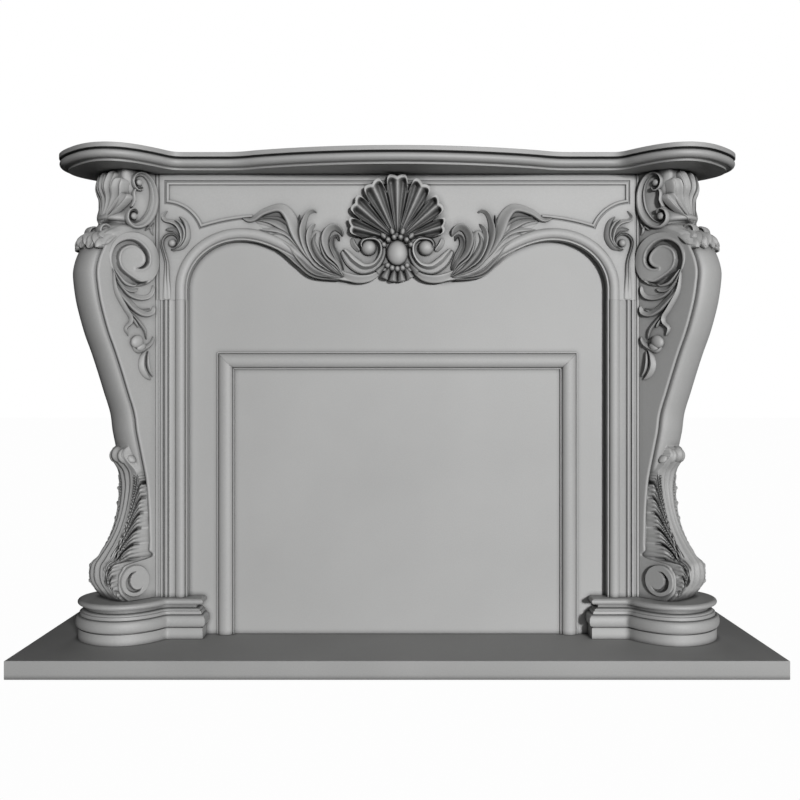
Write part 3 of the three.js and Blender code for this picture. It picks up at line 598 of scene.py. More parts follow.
@dataclass(frozen=True)
class Stone:
    """A honed stone: clouds, a fine grain and painted shade in its crevices.

    Attributes:
        name: Name of the material.
        slot: A slot name, not used.
        light: Linear grey of its light parts.
        dark: Linear grey of its dark parts.
        crevice_shade: How dark the painted shade in its crevices is, from 0, black, to 1, as the rest.
        reach: Width over which the painted crevice shade spreads, in metres.
        gloss: Roughness.
        shine: Level of its reflection.
        grain: Depth of its fine grain, in metres.
    """

    name: str
    slot: str
    light: float
    dark: float
    crevice_shade: float = 0.06
    reach: float = 0.012
    gloss: float = 0.62
    shine: float = 1.0
    grain: float = 0.00012

    def material(self) -> bpy.types.Material:
        """Builds the material's nodes once, and gives it back afterwards.

        Clouds of two greys are darkened by a fine speckle and, near a crevice, by painted shade.

        Returns:
            The material.
        """
        found = bpy.data.materials.get(self.name)
        if found:
            return found
        made = bpy.data.materials.new(self.name)
        made.use_nodes = True
        nodes, links = made.node_tree.nodes, made.node_tree.links
        shader = nodes["Principled BSDF"]
        shader.inputs["Roughness"].default_value = self.gloss
        shader.inputs["Specular IOR Level"].default_value = self.shine
        place = nodes.new("ShaderNodeTexCoord").outputs["Object"]

        def noise(scale: float, detail: float) -> Socket:
            """A noise texture on the object's own coordinates.

            Args:
                scale: Its scale.
                detail: Its detail.

            Returns:
                Its grey.
            """
            texture = nodes.new("ShaderNodeTexNoise")
            texture.inputs["Scale"].default_value = scale
            texture.inputs["Detail"].default_value = detail
            links.new(place, texture.inputs["Vector"])
            return texture.outputs["Fac"]

        def ramp(source: Socket, stops: Pairs) -> Socket:
            """A grey ramp.

            Args:
                source: The value that it reads.
                stops: Its stops, as [place, grey].

            Returns:
                Its colour.
            """
            node = nodes.new("ShaderNodeValToRGB")
            elements = node.color_ramp.elements
            while len(elements) < len(stops):
                elements.new(0.5)
            for element, (at, grey) in zip(elements, stops):
                element.position = at
                element.color = (grey, grey, grey * 0.996, 1)
            links.new(source, node.inputs["Fac"])
            return node.outputs["Color"]

        def darken(share: float, colour: Socket, by: Socket) -> Socket:
            """Multiplies one colour by another.

            Args:
                share: How much of the product is taken.
                colour: The first colour.
                by: The second colour.

            Returns:
                The darker colour.
            """
            node = nodes.new("ShaderNodeMix")
            node.data_type = "RGBA"
            node.blend_type = "MULTIPLY"
            node.inputs["Factor"].default_value = share
            links.new(colour, node.inputs["A"])
            links.new(by, node.inputs["B"])
            return node.outputs["Result"]

        clouds = ramp(noise(3.5, 5.0), [(0.35, self.dark), (0.65, self.light)])
        speckle = ramp(noise(420.0, 3.0), [(0.3, 0.8), (0.7, 1.0)])
        body = darken(0.5, clouds, speckle)
        # Painted shade: ambient occlusion darkens the base colour in crevices and hollows, where shade falls.
        shade = nodes.new("ShaderNodeAmbientOcclusion")
        shade.samples = 6
        shade.inputs["Distance"].default_value = self.reach
        painted_crevice_shade = ramp(shade.outputs["AO"], [(0.18, self.crevice_shade), (0.55, 0.4), (0.93, 1.0)])
        links.new(darken(1.0, body, painted_crevice_shade), shader.inputs["Base Color"])
        bump = nodes.new("ShaderNodeBump")
        bump.inputs["Strength"].default_value = 0.35
        bump.inputs["Distance"].default_value = self.grain
        links.new(noise(650.0, 4.0), bump.inputs["Height"])
        links.new(bump.outputs["Normal"], shader.inputs["Normal"])
        return made

    def dress(self, piece: bpy.types.Object) -> None:
        """Gives the finish to a piece, in every one of its slots."""
        if not piece.data.materials:
            piece.data.materials.append(self.material())
        for place in piece.material_slots:
            place.material = self.material()


# Each stone's crevice value and reach set how dark and how wide its painted crevice shade is.
HONED = Stone("honed_grey_stone", "honed_stone", light=0.36, dark=0.335)
CARVED = Stone("carved_grey_stone", "carved_stone", light=0.39, dark=0.365, crevice_shade=0.02, reach=0.024)
HEARTH = Stone("hearth_grey_stone", "hearth_stone", light=0.35, dark=0.32, crevice_shade=0.5, shine=0.25)


def settle(shape: Shape, name: str, finish: Stone, nodes: Sequence[str], crease: float = 38.0) -> None:
    """Makes a piece of a shape, dresses it and lets it stand for its nodes.

    Args:
        shape: The shells.
        name: Name of the piece.
        finish: Its stone.
        nodes: The nodes of the frame that it stands for.
        crease: Edges that turn by more than this many degrees are drawn sharp.
    """
    piece = shape.to_object(name, crease)
    finish.dress(piece)
    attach(piece, BODY)
    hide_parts(*nodes)
    LOG.info("%s: %d points, %d faces", name, shape.count, len(shape.faces))


# Plain masonry


@dataclass
class Hearth:
    """The slab underfoot, with a small round on its edges, and the flat panel at the back."""

    arris: float = 1.6

    def build(self) -> None:
        """Builds the slab as rings round its rectangle, drawn in by a quarter circle above and below."""
        low, high = millimetres("hearth_slab")
        turn = np.linspace(0, math.pi / 2, 5)
        inset = self.arris * (1 - np.sin(turn))
        drop = self.arris * (1 - np.cos(turn))
        levels = np.concatenate([low[2] + drop, high[2] - drop[::-1]])
        insets = np.concatenate([inset, inset[::-1]])
        corners = np.array([[low[0], low[1]], [high[0], low[1]], [high[0], high[1]], [low[0], high[1]]])
        inward = np.array([[1, 1], [-1, 1], [-1, -1], [1, -1]])
        rings = np.array([
            np.column_stack([corners + inward * cut, np.full(4, z)]) for cut, z in zip(insets, levels)
        ])
        settle(Shape().loft(rings), "hearth", HEARTH, ["hearth_slab"])
        HONED.dress(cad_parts["back_panel"])


@dataclass
class FrameMoulding:
    """The three mitred lengths of moulding on the back panel."""

    fillet: float = 2.4
    fillet_proud: float = 5.0
    quirk: float = 1.2

    def section(self, face: float, relief: float) -> Array:
        """Section from the outer edge inwards: fillet, quirk, half ellipse, quirk, fillet.

        Args:
            face: Width of the moulding.
            relief: How far it stands out.

        Returns:
            Rows of [inward, proud].
        """
        edge = self.fillet + self.quirk
        half = face / 2 - edge
        p = np.linspace(math.pi, 0, 29)
        floor = self.fillet_proud - self.quirk
        roll = np.column_stack([face / 2 + half * np.cos(p), floor + (relief - floor) * np.sin(p) ** 0.85])
        left = [[0, 0], [0, self.fillet_proud], [self.fillet, self.fillet_proud]]
        right = [[face - x, proud] for x, proud in reversed(left)]
        return np.vstack([left, roll, right])

    def length(self, ends: Sequence[MitredEnd], section: Array, plane: float) -> Shape:
        """One length. Its section is pushed along the mitre at both ends.

        Args:
            ends: For each end, x and z of its outer corner and the step inwards in x and z.
            section: Rows of [inward, proud].
            plane: y of the surface that it stands on.

        Returns:
            The shape.
        """
        inward, proud = section.T
        rings = np.array([
            np.column_stack([x + in_x * inward, plane - proud, z + in_z * inward])
            for x, z, in_x, in_z in ends
        ])
        return Shape().loft(rings)

    def build(self) -> None:
        """Builds the left length, its mirror image, and the head."""
        left_low, left_high = millimetres("frame_left")
        head_low, head_high = millimetres("frame_head")
        plane = left_high[1]
        section = self.section(left_high[0] - left_low[0], plane - left_low[1])
        bottom, top = left_low[2], left_high[2]
        side_ends = [(left_low[0], bottom, 1, 0), (left_low[0], top, 1, -1)]
        head_ends = [(head_low[0], head_high[2], 1, -1), (head_high[0], head_high[2], -1, -1)]
        side = self.length(side_ends, section, plane)
        head = self.length(head_ends, section, plane)
        settle(side, "frame_moulding_left", HONED, ["frame_left"])
        settle(side.mirrored(), "frame_moulding_right", HONED, ["frame_right"])
        settle(head, "frame_moulding_head", HONED, ["frame_head"])


def lobe_run(
    reach: float, width: float, power: float, front: float, side: float, inward: float = 0.0,
    count: int = 141,
) -> Array:
    """Round lobe at 45 degrees on the right corner, between the straight front and side.

    The lobe is a superellipse of the given power, |x|^n + |y|^n = 1, whose axis points out of
    the cut corner. Its run is cut where it crosses the front's y and the side's x.

    Args:
        reach: How far it stands out from the middle of the cut corner.
        width: Its width.
        power: Power of the superellipse.
        front: y of the straight front.
        side: x of the straight side.
        inward: How far it starts inward of the cut corner's middle.
        count: Points before the cut.

    Returns:
        The run from the front to the side, one row for each point.
    """
    half = width / 2
    middle = SETTING.corner_middle
    angle = np.linspace(-0.7, 0.7, count) * math.pi
    out = reach - half + half * np.sign(np.cos(angle)) * np.abs(np.cos(angle)) ** (2 / power)
    across = half * np.sign(np.sin(angle)) * np.abs(np.sin(angle)) ** (2 / power)
    x = middle[0] - inward + (out + across) * DIAGONAL
    y = middle[1] + (across - out) * DIAGONAL
    past = np.maximum(front - y, x - side)
    kept = np.flatnonzero(past > 0.5)
    first, last = kept[0], kept[-1]
    start_x = np.interp(0, [past[first - 1], past[first]], [x[first - 1], x[first]])
    end_y = np.interp(0, [past[last + 1], past[last]], [y[last + 1], y[last]])
    inner = np.column_stack([x[first:last + 1], y[first:last + 1]])
    return np.vstack([[start_x, front], inner, [side, end_y]])


def eased(run: Array, radius: float, step: float = 3.0) -> Array:
    """Rounds the two inner corners where a lobe meets its straight runs.

    The points near each corner are averaged with their neighbours after an even cut.

    Args:
        run: The whole run, with both straights.
        radius: Length over which the corner is averaged.
        step: Length of the even steps.

    Returns:
        The rounded run, with its two ends where they were.
    """
    walked = np.concatenate([[0], np.cumsum(np.linalg.norm(np.diff(run, axis=0), axis=1))])
    count = int(walked[-1] / step) + 1
    even = np.linspace(0, walked[-1], count)
    fine = np.column_stack([np.interp(even, walked, run[:, k]) for k in range(2)])
    reach = max(1, int(radius / step))
    weights = np.hanning(2 * reach + 3)[1:-1]
    weights /= weights.sum()
    soft = fine.copy()
    for k in range(2):
        soft[reach:-reach, k] = np.convolve(fine[:, k], weights, mode="valid")
    soft[0], soft[-1] = run[0], run[-1]
    return soft


def rounded_profile(parts: Sequence[Stretch], count: int) -> Array:
    """A moulding's profile from straight and round parts.

    A line part joins its two points. A swell is half an ellipse between the two heights, which
    starts and ends at the first inset and reaches the second. A cove is a quarter ellipse that
    leaves the first point upright.

    Args:
        parts: Kind, first point and last point of each part, as (height, inset).
        count: Points of a round part.

    Returns:
        Rows of [height, inset].
    """
    t = np.linspace(0, 1, count)
    ways = {
        "line": (np.array([0.0, 1.0]), np.array([0.0, 1.0])),
        "swell": ((1 - np.cos(math.pi * t)) / 2, np.sin(math.pi * t)),
        "cove": (np.sin(t * math.pi / 2), 1 - np.cos(t * math.pi / 2)),
    }
    profile = np.vstack([
        np.column_stack([z0 + (z1 - z0) * ways[kind][0], in0 + (in1 - in0) * ways[kind][1]])
        for kind, (z0, in0), (z1, in1) in parts
    ])
    keep = np.concatenate([[True], np.linalg.norm(np.diff(profile, axis=0), axis=1) > 1e-6])
    return profile[keep]


@dataclass
class Plinth:
    """A moulded foot block: plain block, quirk, big roll, fillet, neck, groove and top roll."""

    proud: float = 25.0
    swell: float = 6.0
    lobe_reach: float = 147.0
    lobe_width: float = 214.0
    power: float = 2.15

    def profile(self, height: float) -> Array:
        """Profile from the bottom.

        Args:
            height: Height of the plinth.

        Returns:
            Rows of [height, inset from the block].
        """
        return rounded_profile([
            ("line", (0, 0), (24.2, 0)),
            ("line", (24.8, 0.6), (25, 3.5)),
            ("line", (26.8, 3.8), (27.2, 0.5)),
            ("swell", (27.2, 0.5), (53.5, -self.swell)),
            ("line", (53.8, 4.2), (55.2, 5.5)),
            ("line", (55.4, 3.4), (61.6, 4.6)),
            ("line", (62.2, 6.0), (62.6, 8.0)),
            ("cove", (62.6, 8.0), (68.5, 17.5)),
            ("line", (75.2, 17.5), (75.8, 13.0)),
            ("line", (76.8, 12.4), (77, 8.4)),
            ("swell", (77, 8.4), (height, 0.0)),
        ], 15)

    def build(self) -> None:
        """Lofts the outline, drawn in by the profile at each height, and mirrors it."""
        low, high = millimetres("right_plinth")
        front, side = SETTING.face_y - self.proud, SETTING.side_x + self.proud
        lobe = lobe_run(self.lobe_reach, self.lobe_width, self.power, front, side)
        run = eased(np.vstack([[low[0] + self.swell, front], lobe, [side, SETTING.wall_y]]), 14)
        inner_x = SETTING.side_x - SETTING.return_thick
        hidden = np.array([
            [inner_x, SETTING.wall_y], [inner_x, SETTING.face_y + (SETTING.side_x - SETTING.corner_x)],
            [SETTING.corner_x, SETTING.back_y + SETTING.back_thick], [SETTING.corner_x, SETTING.back_y],
        ])
        rings = []
        for z, inset in self.profile(high[2] - low[2]):
            moved = offset_run(run, inset)
            moved[-1, 1] = SETTING.wall_y
            start = moved[0] + [inset, 0]
            back = [start[0], SETTING.back_y]
            outline = np.vstack([back, start, moved[1:][moved[1:, 0] > start[0] + 0.5], hidden])
            rings.append((z + low[2], outline))
        count = min(len(outline) for _, outline in rings)
        shape = Shape().loft(np.array([
            np.column_stack([even_ring(outline, count, len(hidden) + 1), np.full(count, z)])
            for z, outline in rings
        ]))
        settle(shape, "plinth_right", HONED, ["right_plinth"], 30)
        settle(shape.mirrored(), "plinth_left", HONED, ["left_plinth"], 30)


def even_ring(outline: Array, count: int, fixed: int) -> Array:
    """Brings an outline to a number of points, and keeps its first two and its last ones.

    The run between them is cut again into even steps of length.

    Args:
        outline: The points.
        count: How many are wanted.
        fixed: How many of the last points are kept as they are.

    Returns:
        The new outline.
    """
    run = outline[1:len(outline) - fixed + 1]
    walked = np.concatenate([[0], np.cumsum(np.linalg.norm(np.diff(run, axis=0), axis=1))])
    even = np.linspace(0, walked[-1], count - fixed)
    cut = np.column_stack([np.interp(even, walked, run[:, k]) for k in range(2)])
    return np.vstack([outline[:1], cut, outline[len(outline) - fixed + 1:]])


@dataclass
class Jambs:
    """The uprights: a front strip with its roll and reeds, the cut corner and the return."""

    edge: float = 2.6
    roll: tuple[float, float, float] = (4.4, 27.6, 7.0)
    ridge: float = 41.0

    def roll_section(self, flush: bool) -> Array:
        """Section from the opening's edge to the ridge: flat edge, quirk, roll, hollow.

        Args:
            flush: Whether the ridge ends level with the face, as on the frieze.

        Returns:
            Rows of [distance from the opening, proud].
        """
        start, stop, relief = self.roll
        p = np.linspace(math.pi, 0, 25)
        middle, half = (start + stop) / 2, (stop - start) / 2
        swell = np.column_stack([middle + half * np.cos(p), -1.2 + (relief + 1.2) * np.sin(p)])
        t = np.linspace(0.12, 1, 8)
        rise = 1.2 if flush else 1.8
        hollow = np.column_stack([stop + (self.ridge - stop) * t, -1.2 + rise * t**2])
        return np.vstack([[[0, 0.4], [0.5, 1], [self.edge, 1], [self.edge + 0.6, -1.2]], swell, hollow])

    def strip_section(self, width: float) -> Array:
        """Whole section of the front strip, from the opening's edge to the cut corner.

        Args:
            width: Width of the strip.

        Returns:
            Rows of [distance from the opening, proud].
        """
        reeds = [
            [41.6, -3.2], [44.4, -3.4], [45.2, -1.0], [47.0, 0.7], [49.5, 1.0], [51.6, 0.2], [52.6, -1.6],
            [53.0, -4.0], [56.0, -4.2], [56.6, -0.2], [57.4, 0.4], [60.6, 0.4], [61.4, -0.4], [62.4, -2.2],
            [64.6, -3.0], [67.0, -2.6], [68.2, -0.8], [69.4, -0.1], [width - 0.6, 0.0], [width, -0.6],
        ]
        return np.vstack([self.roll_section(False), reeds])

    def build(self) -> None:
        """Builds the pier and the strip as upright bodies, one shell each, and mirrors them."""
        low, high = millimetres("right_jamb")
        corner, side, face = SETTING.corner_x, SETTING.side_x, SETTING.face_y
        chamfer_y = face + side - corner
        inner = side - SETTING.return_thick
        pier = np.array([
            [corner, face], [side, chamfer_y], [side, SETTING.wall_y], [inner, SETTING.wall_y],
            [inner, chamfer_y], [corner, SETTING.back_y + SETTING.back_thick],
        ])
        section = self.strip_section(corner - SETTING.half_opening)
        strip = np.vstack([
            [SETTING.half_opening, SETTING.back_y],
            np.column_stack([SETTING.half_opening + section[:, 0], face - section[:, 1]]),
            [corner, SETTING.back_y],
        ])
        strip_top = SETTING.frieze_foot - SETTING.joint
        shape = Shape()
        for outline, top in ((pier, high[2]), (strip, strip_top)):
            rings = [np.column_stack([outline, np.full(len(outline), z)]) for z in (low[2], top)]
            shape.loft(np.array(rings))
        settle(shape, "jamb_right", HONED, ["right_jamb"], 24)
        settle(shape.mirrored(), "jamb_left", HONED, ["left_jamb"], 24)


@dataclass
class Shelf:
    """The moulded shelf with its lobed ends and its bowed middle."""

    proud: float = 57.0
    lobe_reach: float = 197.0
    lobe_width: float = 268.0
    lobe_inward: float = 14.0
    power: float = 2.6
    bow: float = 61.0
    bow_width: float = 770.0
    turn_share: float = 0.84
    turn_drop: float = 0.76
    arris: float = 0.8

    def bow_run(self, front: float, count: int = 60) -> Array:
        """Front line from the middle to the end of the bow.

        The middle is an arc. Past the turn it eases into the straight front as a parabola.

        Args:
            front: y of the straight front.
            count: Number of points.

        Returns:
            The points.
        """
        edge = self.bow_width / 2
        turn = edge * self.turn_share
        x = np.linspace(0, edge, count)
        arc = self.bow - self.bow * self.turn_drop * (x / turn) ** 2
        tail = self.bow * (1 - self.turn_drop) * ((edge - x) / (edge - turn)) ** 2
        return np.column_stack([x, front - np.where(x < turn, arc, tail)])

    def profile(self, thick: float) -> Array:
        """Profile from the underside.

        Args:
            thick: Thickness of the shelf.

        Returns:
            Rows of [height, inset from the top edge].
        """
        return rounded_profile([
            ("line", (0, 20.0), (4.2, 19.6)),
            ("line", (4.6, 19.0), (5.2, 12.0)),
            ("swell", (5.2, 12.0), (24.4, 1.0)),
            ("line", (24.8, 8.0), (26.0, 9.0)),
            ("line", (26.2, self.arris), (26.2 + self.arris, 0)),
            ("line", (thick - self.arris, 0), (thick, self.arris)),
        ], 19)

    def build(self) -> None:
        """Lofts the outline, drawn in by the profile at each height."""
        low, high = millimetres("mantel_shelf")
        front, side = SETTING.face_y - self.proud, SETTING.side_x + self.proud
        lobe = lobe_run(self.lobe_reach, self.lobe_width, self.power, front, side, self.lobe_inward)
        run = eased(np.vstack([self.bow_run(front), lobe, [side, SETTING.wall_y]]), 30)
        rings = []
        for z, inset in self.profile(high[2] - low[2]):
            moved = offset_run(run, inset)
            moved[0, 0] = 0
            moved[-1, 1] = SETTING.wall_y
            left = moved[1:][::-1] * [-1, 1]
            outline = np.vstack([left, moved])
            rings.append(np.column_stack([outline, np.full(len(outline), z + low[2])]))
        settle(Shape().loft(np.array(rings)), "shelf", HONED, ["mantel_shelf"], 30)


@dataclass
class BedMould:
    """The cove moulding under the shelf on each side return."""

    fascia: float = 14.0
    fillet: float = 2.5
    quirk: float = 1.0
    foot_share: float = 0.33
    neck_share: float = 0.9

    def build(self) -> None:
        """Carries a fillet, a cove, a quirk and a fascia along the return, and mirrors it."""
        low, high = millimetres("right_bed_mould")
        reach, height = high[0] - low[0], high[2] - low[2]
        fascia_foot = height - self.fascia
        cove_top = fascia_foot - self.quirk
        t = np.linspace(0, math.pi / 2, 13)
        foot, neck = reach * self.foot_share, reach * self.neck_share
        cove = np.column_stack([
            foot + (neck - foot) * (1 - np.cos(t)), self.fillet + (cove_top - self.fillet) * np.sin(t),
        ])
        section = np.vstack([
            [0, 0], [foot, 0], cove, [neck, cove_top], [neck, fascia_foot],
            [reach, fascia_foot + self.quirk / 2], [reach, height], [0, height],
        ])
        rings = np.array([
            np.column_stack([low[0] + section[:, 0], np.full(len(section), y), low[2] + section[:, 1]])
            for y in (low[1], high[1])
        ])
        shape = Shape().loft(rings)
        settle(shape, "bed_mould_right", HONED, ["right_bed_mould"], 30)
        settle(shape.mirrored(), "bed_mould_left", HONED, ["left_bed_mould"], 30)


# Frieze


# How far the arch is cut back behind the tongues, as [x, height over the arch's lowest point].
ARCH_BEHIND = [(82, 3), (64, 11), (46, 21), (36, 24), (0, 24)]
# Lower edge of the sunk ground under the carving, as [x, height over the egg's middle].
PANEL_BELOW = [
    (318, 62), (285, 40), (250, 15), (212, -22), (172, -45), (130, -56), (98, -56), (64, -43), (36, -32),
    (0, -32),
]


@dataclass
class Frieze:
    """The carved lintel: slab, arch roll, sunk panel and bead, shell cartouche and sprays.

    The carving of the left half is drawn in millimetres from the middle of the egg, and the
    leaf in the spandrel from the eye of its volute. Both are mirrored.
    """

    shoulder_width: float = 126.0
    shoulder_rise: float = 113.0
    drop: float = 95.0
    crown_width: float = 196.0
    stilt: float = 26.0
    margin_top: float = 14.0
    margin_side: float = 21.0
    sunk: float = 3.0
    ear_radius: float = 85.0
    ear_up: float = 29.0
    bead_start: float = 3.6
    bead_width: float = 7.6
    bead_relief: float = 2.6
    egg: tuple[float, float] = (50.0, 60.0)
    egg_up: float = 1.07
    egg_relief: float = 24.0
    shell_gap: float = 3.0
    shell_relief: float = 26.0
    shell_spread: float = 174.0
    shell_lobes: int = 7
    lobe_steps: int = 32
    beam_share: float = 0.4
    taper: tuple[float, float] = (120.0, 290.0)
    roll_floor: float = -3.4
    crown_breadth: float = 0.14
    crown_relief: float = 0.04
    edge_bead: float = 5.5
    edge_channel: float = 4.6
    leaf_lift: float = 1.18
    ball: tuple[float, float] = (-66.0, 12.0)
    eye_aside: float = 33.0
    eye_up: float = 23.0
    jambs: Jambs = field(default_factory=Jambs)

    @property
    def egg_z(self) -> float:
        """Height of the middle of the egg."""
        bottom = SETTING.frieze_foot + self.stilt + self.shoulder_rise - self.drop
        return bottom + self.egg[1] * self.egg_up

    @property
    def hinge_z(self) -> float:
        """Height of the shell's hinge, at the top of the egg."""
        return self.egg_z + self.egg[1] / 2

    @property
    def shell_radius(self) -> float:
        """Reach of the shell's middle lobe."""
        return SETTING.order_top - self.shell_gap - self.hinge_z

    def arch(self, side_steps: int = 24) -> Array:
        """Right half of the arch, from the foot to the middle.

        A straight stilt, a quarter ellipse, then a fall of half a cosine wave. Behind the
        tongues under the egg it is cut back, so that they make the lower edge.

        Args:
            side_steps: Number of points of the quarter ellipse.

        Returns:
            Rows of [x, z].
        """
        spring = SETTING.frieze_foot + self.stilt
        apex_x = SETTING.half_opening - self.shoulder_width
        apex_z = spring + self.shoulder_rise
        crown = self.crown_width / 2
        angle = np.linspace(0, math.pi / 2, side_steps)
        ellipse = np.column_stack([
            apex_x + self.shoulder_width * np.cos(angle), spring + self.shoulder_rise * np.sin(angle),
        ])
        t = np.linspace(0, 1, 2 * side_steps)[1:]
        fall = np.column_stack([
            apex_x + (crown - apex_x) * t, apex_z - self.drop * (1 - np.cos(t * math.pi)) / 2,
        ])
        behind = np.array(ARCH_BEHIND, dtype=float) + [0, apex_z - self.drop]
        return np.vstack([[SETTING.half_opening, SETTING.frieze_foot], ellipse, fall, behind])

    def panel_edge(self) -> Array:
        """Right half of the sunk ground's edge, as far as it is seen: top, side, ear and sweep.

        The ear is an arc. The sweep is the start of a line from the ear's cusp to the shell,
        raised by a share of a sine wave.

        Returns:
            Rows of [x, z].
        """
        right = SETTING.corner_x - self.margin_side
        top = SETTING.order_top - self.margin_top
        angle = np.linspace(math.pi / 2, math.pi * 0.9, 17)
        ear = np.column_stack([
            right + self.ear_radius * np.cos(angle),
            self.egg_z + self.ear_up + self.ear_radius * np.sin(angle),
        ])
        cusp = ear[-1]
        inner = np.array([self.shell_radius * 0.7, self.egg_z + self.egg[1]])
        t = np.linspace(0, 0.35, 13)[1:]
        sweep = cusp + (inner - cusp) * t[:, None]
        sweep[:, 1] += self.ear_radius * 0.55 * np.sin(t * math.pi * 0.75) * (1 - t)
        return np.vstack([[0, top], [right, top], ear, sweep])

    def panel(self) -> Array:
        """Right half of the sunk ground, closed under the carving, as rows of [x, z]."""
        return np.vstack([self.panel_edge(), np.array(PANEL_BELOW, dtype=float) + [0, self.egg_z]])

    def slab(self, shape: Shape) -> None:
        """Adds the slab with its sunk panel as one shell, and the beam behind it.

        The front is a flat face with a hole, cut into triangles. Walls join its outline to the
        back, and the hole's outline to the floor of the panel.

        Args:
            shape: Where they are added.
        """
        limit = SETTING.corner_x - SETTING.joint
        right = limit - self.edge_bead - self.edge_channel
        arch = self.arch()
        outer = np.vstack([
            [[right, SETTING.frieze_foot]], arch, (arch[:-1] * [-1, 1])[::-1],
            [[-right, SETTING.frieze_foot], [-right, SETTING.order_top], [right, SETTING.order_top]],
        ])
        half = self.panel()
        inner = np.vstack([half, (half[1:-1] * [-1, 1])[::-1]])
        both = np.vstack([outer, inner])
        front = tessellate_polygon([[Vector((x, z, 0)) for x, z in loop] for loop in (outer, inner)])
        count_out, count_in = len(outer), len(inner)
        levels = [
            np.column_stack([both[:, 0], np.full(len(both), SETTING.face_y), both[:, 1]]),
            np.column_stack([outer[:, 0], np.full(count_out, SETTING.back_y), outer[:, 1]]),
            np.column_stack([inner[:, 0], np.full(count_in, SETTING.face_y + self.sunk), inner[:, 1]]),
        ]
        back, floor = len(both), len(both) + count_out
        way_out = 1 if signed_area(outer) > 0 else -1
        way_in = 1 if signed_area(inner) > 0 else -1
        faces = [list(face)[::1 if signed_area(both[list(face)]) > 0 else -1] for face in front]
        faces.extend(
            [i, (i + 1) % count_out, back + (i + 1) % count_out, back + i][::-way_out]
            for i in range(count_out)
        )
        faces.append([back + i for i in range(count_out)][::-way_out])
        faces.extend(
            [count_out + i, count_out + (i + 1) % count_in, floor + (i + 1) % count_in, floor + i][::way_in]
            for i in range(count_in)
        )
        faces.append([floor + i for i in range(count_in)][::way_in])
        shape.add(np.vstack(levels), faces)
        self.edges(shape, right, limit)
        top = SETTING.order_top
        foot = top - (top - SETTING.frieze_foot) * self.beam_share + SETTING.joint
        shape.loft(np.array([
            [[-limit, y, foot], [limit, y, foot], [limit, y, top], [-limit, y, top]]
            for y in (SETTING.back_y - 1, SETTING.back_y + SETTING.back_thick)
        ]))

    def edges(self, shape: Shape, inner: float, outer: float) -> None:
        """Adds the channel and the round bead that carry on the jambs' corners at both ends.

        The bead is half an ellipse.

        Args:
            shape: Where they are added.
            inner: x where the channel starts.
            outer: x where the bead ends.
        """
        face, back = SETTING.face_y, SETTING.back_y
        p = np.linspace(0, math.pi, 9)
        middle, half = outer - self.edge_bead / 2, self.edge_bead / 2
        bead = np.column_stack([middle - half * np.cos(p), face + 1.2 - 1.4 * np.sin(p)])
        floor = face + self.sunk
        start, stop = inner - 1, outer - self.edge_bead
        section = np.vstack([[start, back], [start, floor], [stop, floor], bead, [outer, back]])
        rings = np.array([
            np.column_stack([section, np.full(len(section), z)])
            for z in (SETTING.frieze_foot, SETTING.order_top)
        ])
        side = Shape().loft(rings)
        shape.merge(side).merge(side.mirrored())

    def mouldings(self, shape: Shape) -> None:
        """Adds the roll round the arch and the bead along the panel's edge, one sweep each.

        The roll's section narrows and sinks towards the middle. The bead's is half an ellipse
        with fuller shoulders.

        Args:
            shape: Where they are added.
        """
        arch = self.arch()
        whole = np.vstack([arch, (arch[:-1] * [-1, 1])[::-1]])
        section = self.jambs.roll_section(True)
        base = np.vstack([section, [[section[-1, 0], self.roll_floor], [0.0, self.roll_floor]]])
        full = smooth_step((np.abs(whole[:, 0]) - self.taper[0]) / (self.taper[1] - self.taper[0]))
        breadth = (self.crown_breadth + (1 - self.crown_breadth) * full)[:, None]
        relief = self.crown_relief + (1 - self.crown_relief) * full
        sides = []
        for distance, proud in base:
            moved = whole + (offset_run(whole, -distance) - whole) * breadth
            level = self.roll_floor + (proud - self.roll_floor) * relief
            height = np.maximum(moved[:, 1], SETTING.frieze_foot)
            sides.append(np.column_stack([moved[:, 0], SETTING.face_y - level, height]))
        shape.loft(np.stack(sides, axis=1))
        edge = self.panel_edge()
        run = np.vstack([(edge[1:] * [-1, 1])[::-1], edge])
        p = np.linspace(0, math.pi, 13)
        start, wide, floor = self.bead_start, self.bead_width, -self.sunk
        rise = self.bead_relief - floor
        bead = np.vstack([
            [start - 0.6, floor - 0.8],
            np.column_stack([start + wide * (1 - np.cos(p)) / 2, floor - 0.2 + rise * np.sin(p) ** 0.8]),
            [start + wide + 0.6, floor - 0.8],
        ])
        sides = [offset_run(run, -distance) for distance in bead[:, 0]]
        shape.loft(np.stack([
            np.column_stack([line[:, 0], np.full(len(line), SETTING.face_y - proud), line[:, 1]])
            for line, proud in zip(sides, bead[:, 1])
        ], axis=1))

